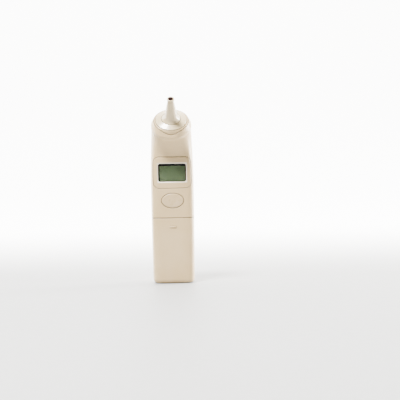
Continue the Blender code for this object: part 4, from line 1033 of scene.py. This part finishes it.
stage_paint, tree, shader, where = material("Opal acrylic sheet, lit from behind", "#9c9b98", "#989794",
                                            400.0, 0.55, 0.05, 1.5, 0.01, scratch=0.0)
depth = add(tree, "SeparateXYZ", {0: where}).outputs[1]
GLOW_START, GLOW_END, GLOW_LOW, GLOW_HIGH = 0.02, 0.55, 0.3, 10.0
glow = add(tree, "MapRange", {0: depth, 1: GLOW_START, 2: GLOW_END, 3: GLOW_LOW, 4: GLOW_HIGH},
           interpolation_type="SMOOTHSTEP").outputs[0]
shader.inputs["Emission Color"].default_value = (1.0, 1.0, 0.99, 1.0)
tree.links.new(glow, shader.inputs["Emission Strength"])
profile = np.array([(-1.6, 0.0), (0.5, 0.0), (0.75, 0.03), (0.95, 0.15), (1.05, 0.35), (1.08, 2.2)])
span = np.linspace(-2.4, 2.4, 2)
stage_points = [(x, y, z) for y, z in profile for x in span]
stage_faces = [(2 * i, 2 * i + 1, 2 * i + 3, 2 * i + 2) for i in range(len(profile) - 1)]
stage_mesh = bpy.data.meshes.new("studio_floor")
stage_mesh.from_pydata(stage_points, [], stage_faces)
stage_mesh.materials.append(stage_paint)
stage_mesh.shade_smooth()
studio_floor = bpy.data.objects.new("studio_floor", stage_mesh)
bpy.context.scene.collection.objects.link(studio_floor)


def soft_light(name, place, aim, size, power):
    """Rectangular soft light at a place, turned to a point."""
    light = bpy.data.lights.new(name, "AREA")
    light.shape, light.size, light.size_y, light.energy = "RECTANGLE", size[0], size[1], power
    item = bpy.data.objects.new(name, light)
    bpy.context.scene.collection.objects.link(item)
    item.location = place
    item.rotation_euler = (Vector(aim) - Vector(place)).to_track_quat("-Z", "Y").to_euler()


soft_light("key", (-0.35, -0.45, 1.3), (0.0, 0.0, 0.1), (0.3, 0.3), 92.0)
soft_light("rim_left", (-0.9, 0.35, 0.3), (0.0, 0.0, 0.1), (0.3, 0.9), 7.0)
soft_light("rim_right", (0.9, 0.3, 0.3), (0.0, 0.0, 0.1), (0.3, 0.9), 60.0)
world = bpy.data.worlds.new("studio air")
world.use_nodes = True
world.node_tree.nodes["Background"].inputs["Color"].default_value = (1.0, 0.985, 0.96, 1.0)
world.node_tree.nodes["Background"].inputs["Strength"].default_value = 0.08
bpy.context.scene.world = world

# A picture unit is UNIT metres at the aim point, which lies AIM_ACROSS and AIM_DOWN from the corner.
CAMERA_DISTANCE, CAMERA_LIFT, CAMERA_LEAN = 1.0, math.radians(3.5), math.radians(1.14)
CAMERA_AIM = Vector((0.0, -0.008, 0.0838))
PICTURE_SIDE = 400.0
UNIT = 0.899e-3
AIM_ACROSS, AIM_DOWN = 172.4, 190.3
camera = bpy.data.cameras.new("camera")
camera.sensor_width = 36.0
camera.lens = camera.sensor_width * CAMERA_DISTANCE / (PICTURE_SIDE * UNIT)
camera.shift_x = (PICTURE_SIDE / 2.0 - AIM_ACROSS) / PICTURE_SIDE
camera.shift_y = (AIM_DOWN - PICTURE_SIDE / 2.0) / PICTURE_SIDE
camera_object = bpy.data.objects.new("camera", camera)
bpy.context.scene.collection.objects.link(camera_object)
back = Vector((0.0, -math.cos(CAMERA_LIFT), math.sin(CAMERA_LIFT)))
up = Vector((0.0, math.sin(CAMERA_LIFT), math.cos(CAMERA_LIFT)))
right = Vector((1.0, 0.0, 0.0))
leaned_up = up * math.cos(CAMERA_LEAN) + right * math.sin(CAMERA_LEAN)
leaned_right = right * math.cos(CAMERA_LEAN) - up * math.sin(CAMERA_LEAN)
camera_turn = Matrix((leaned_right, leaned_up, back)).transposed().to_4x4()
camera_object.matrix_world = Matrix.Translation(CAMERA_AIM + back * CAMERA_DISTANCE) @ camera_turn
bpy.context.scene.camera = camera_object
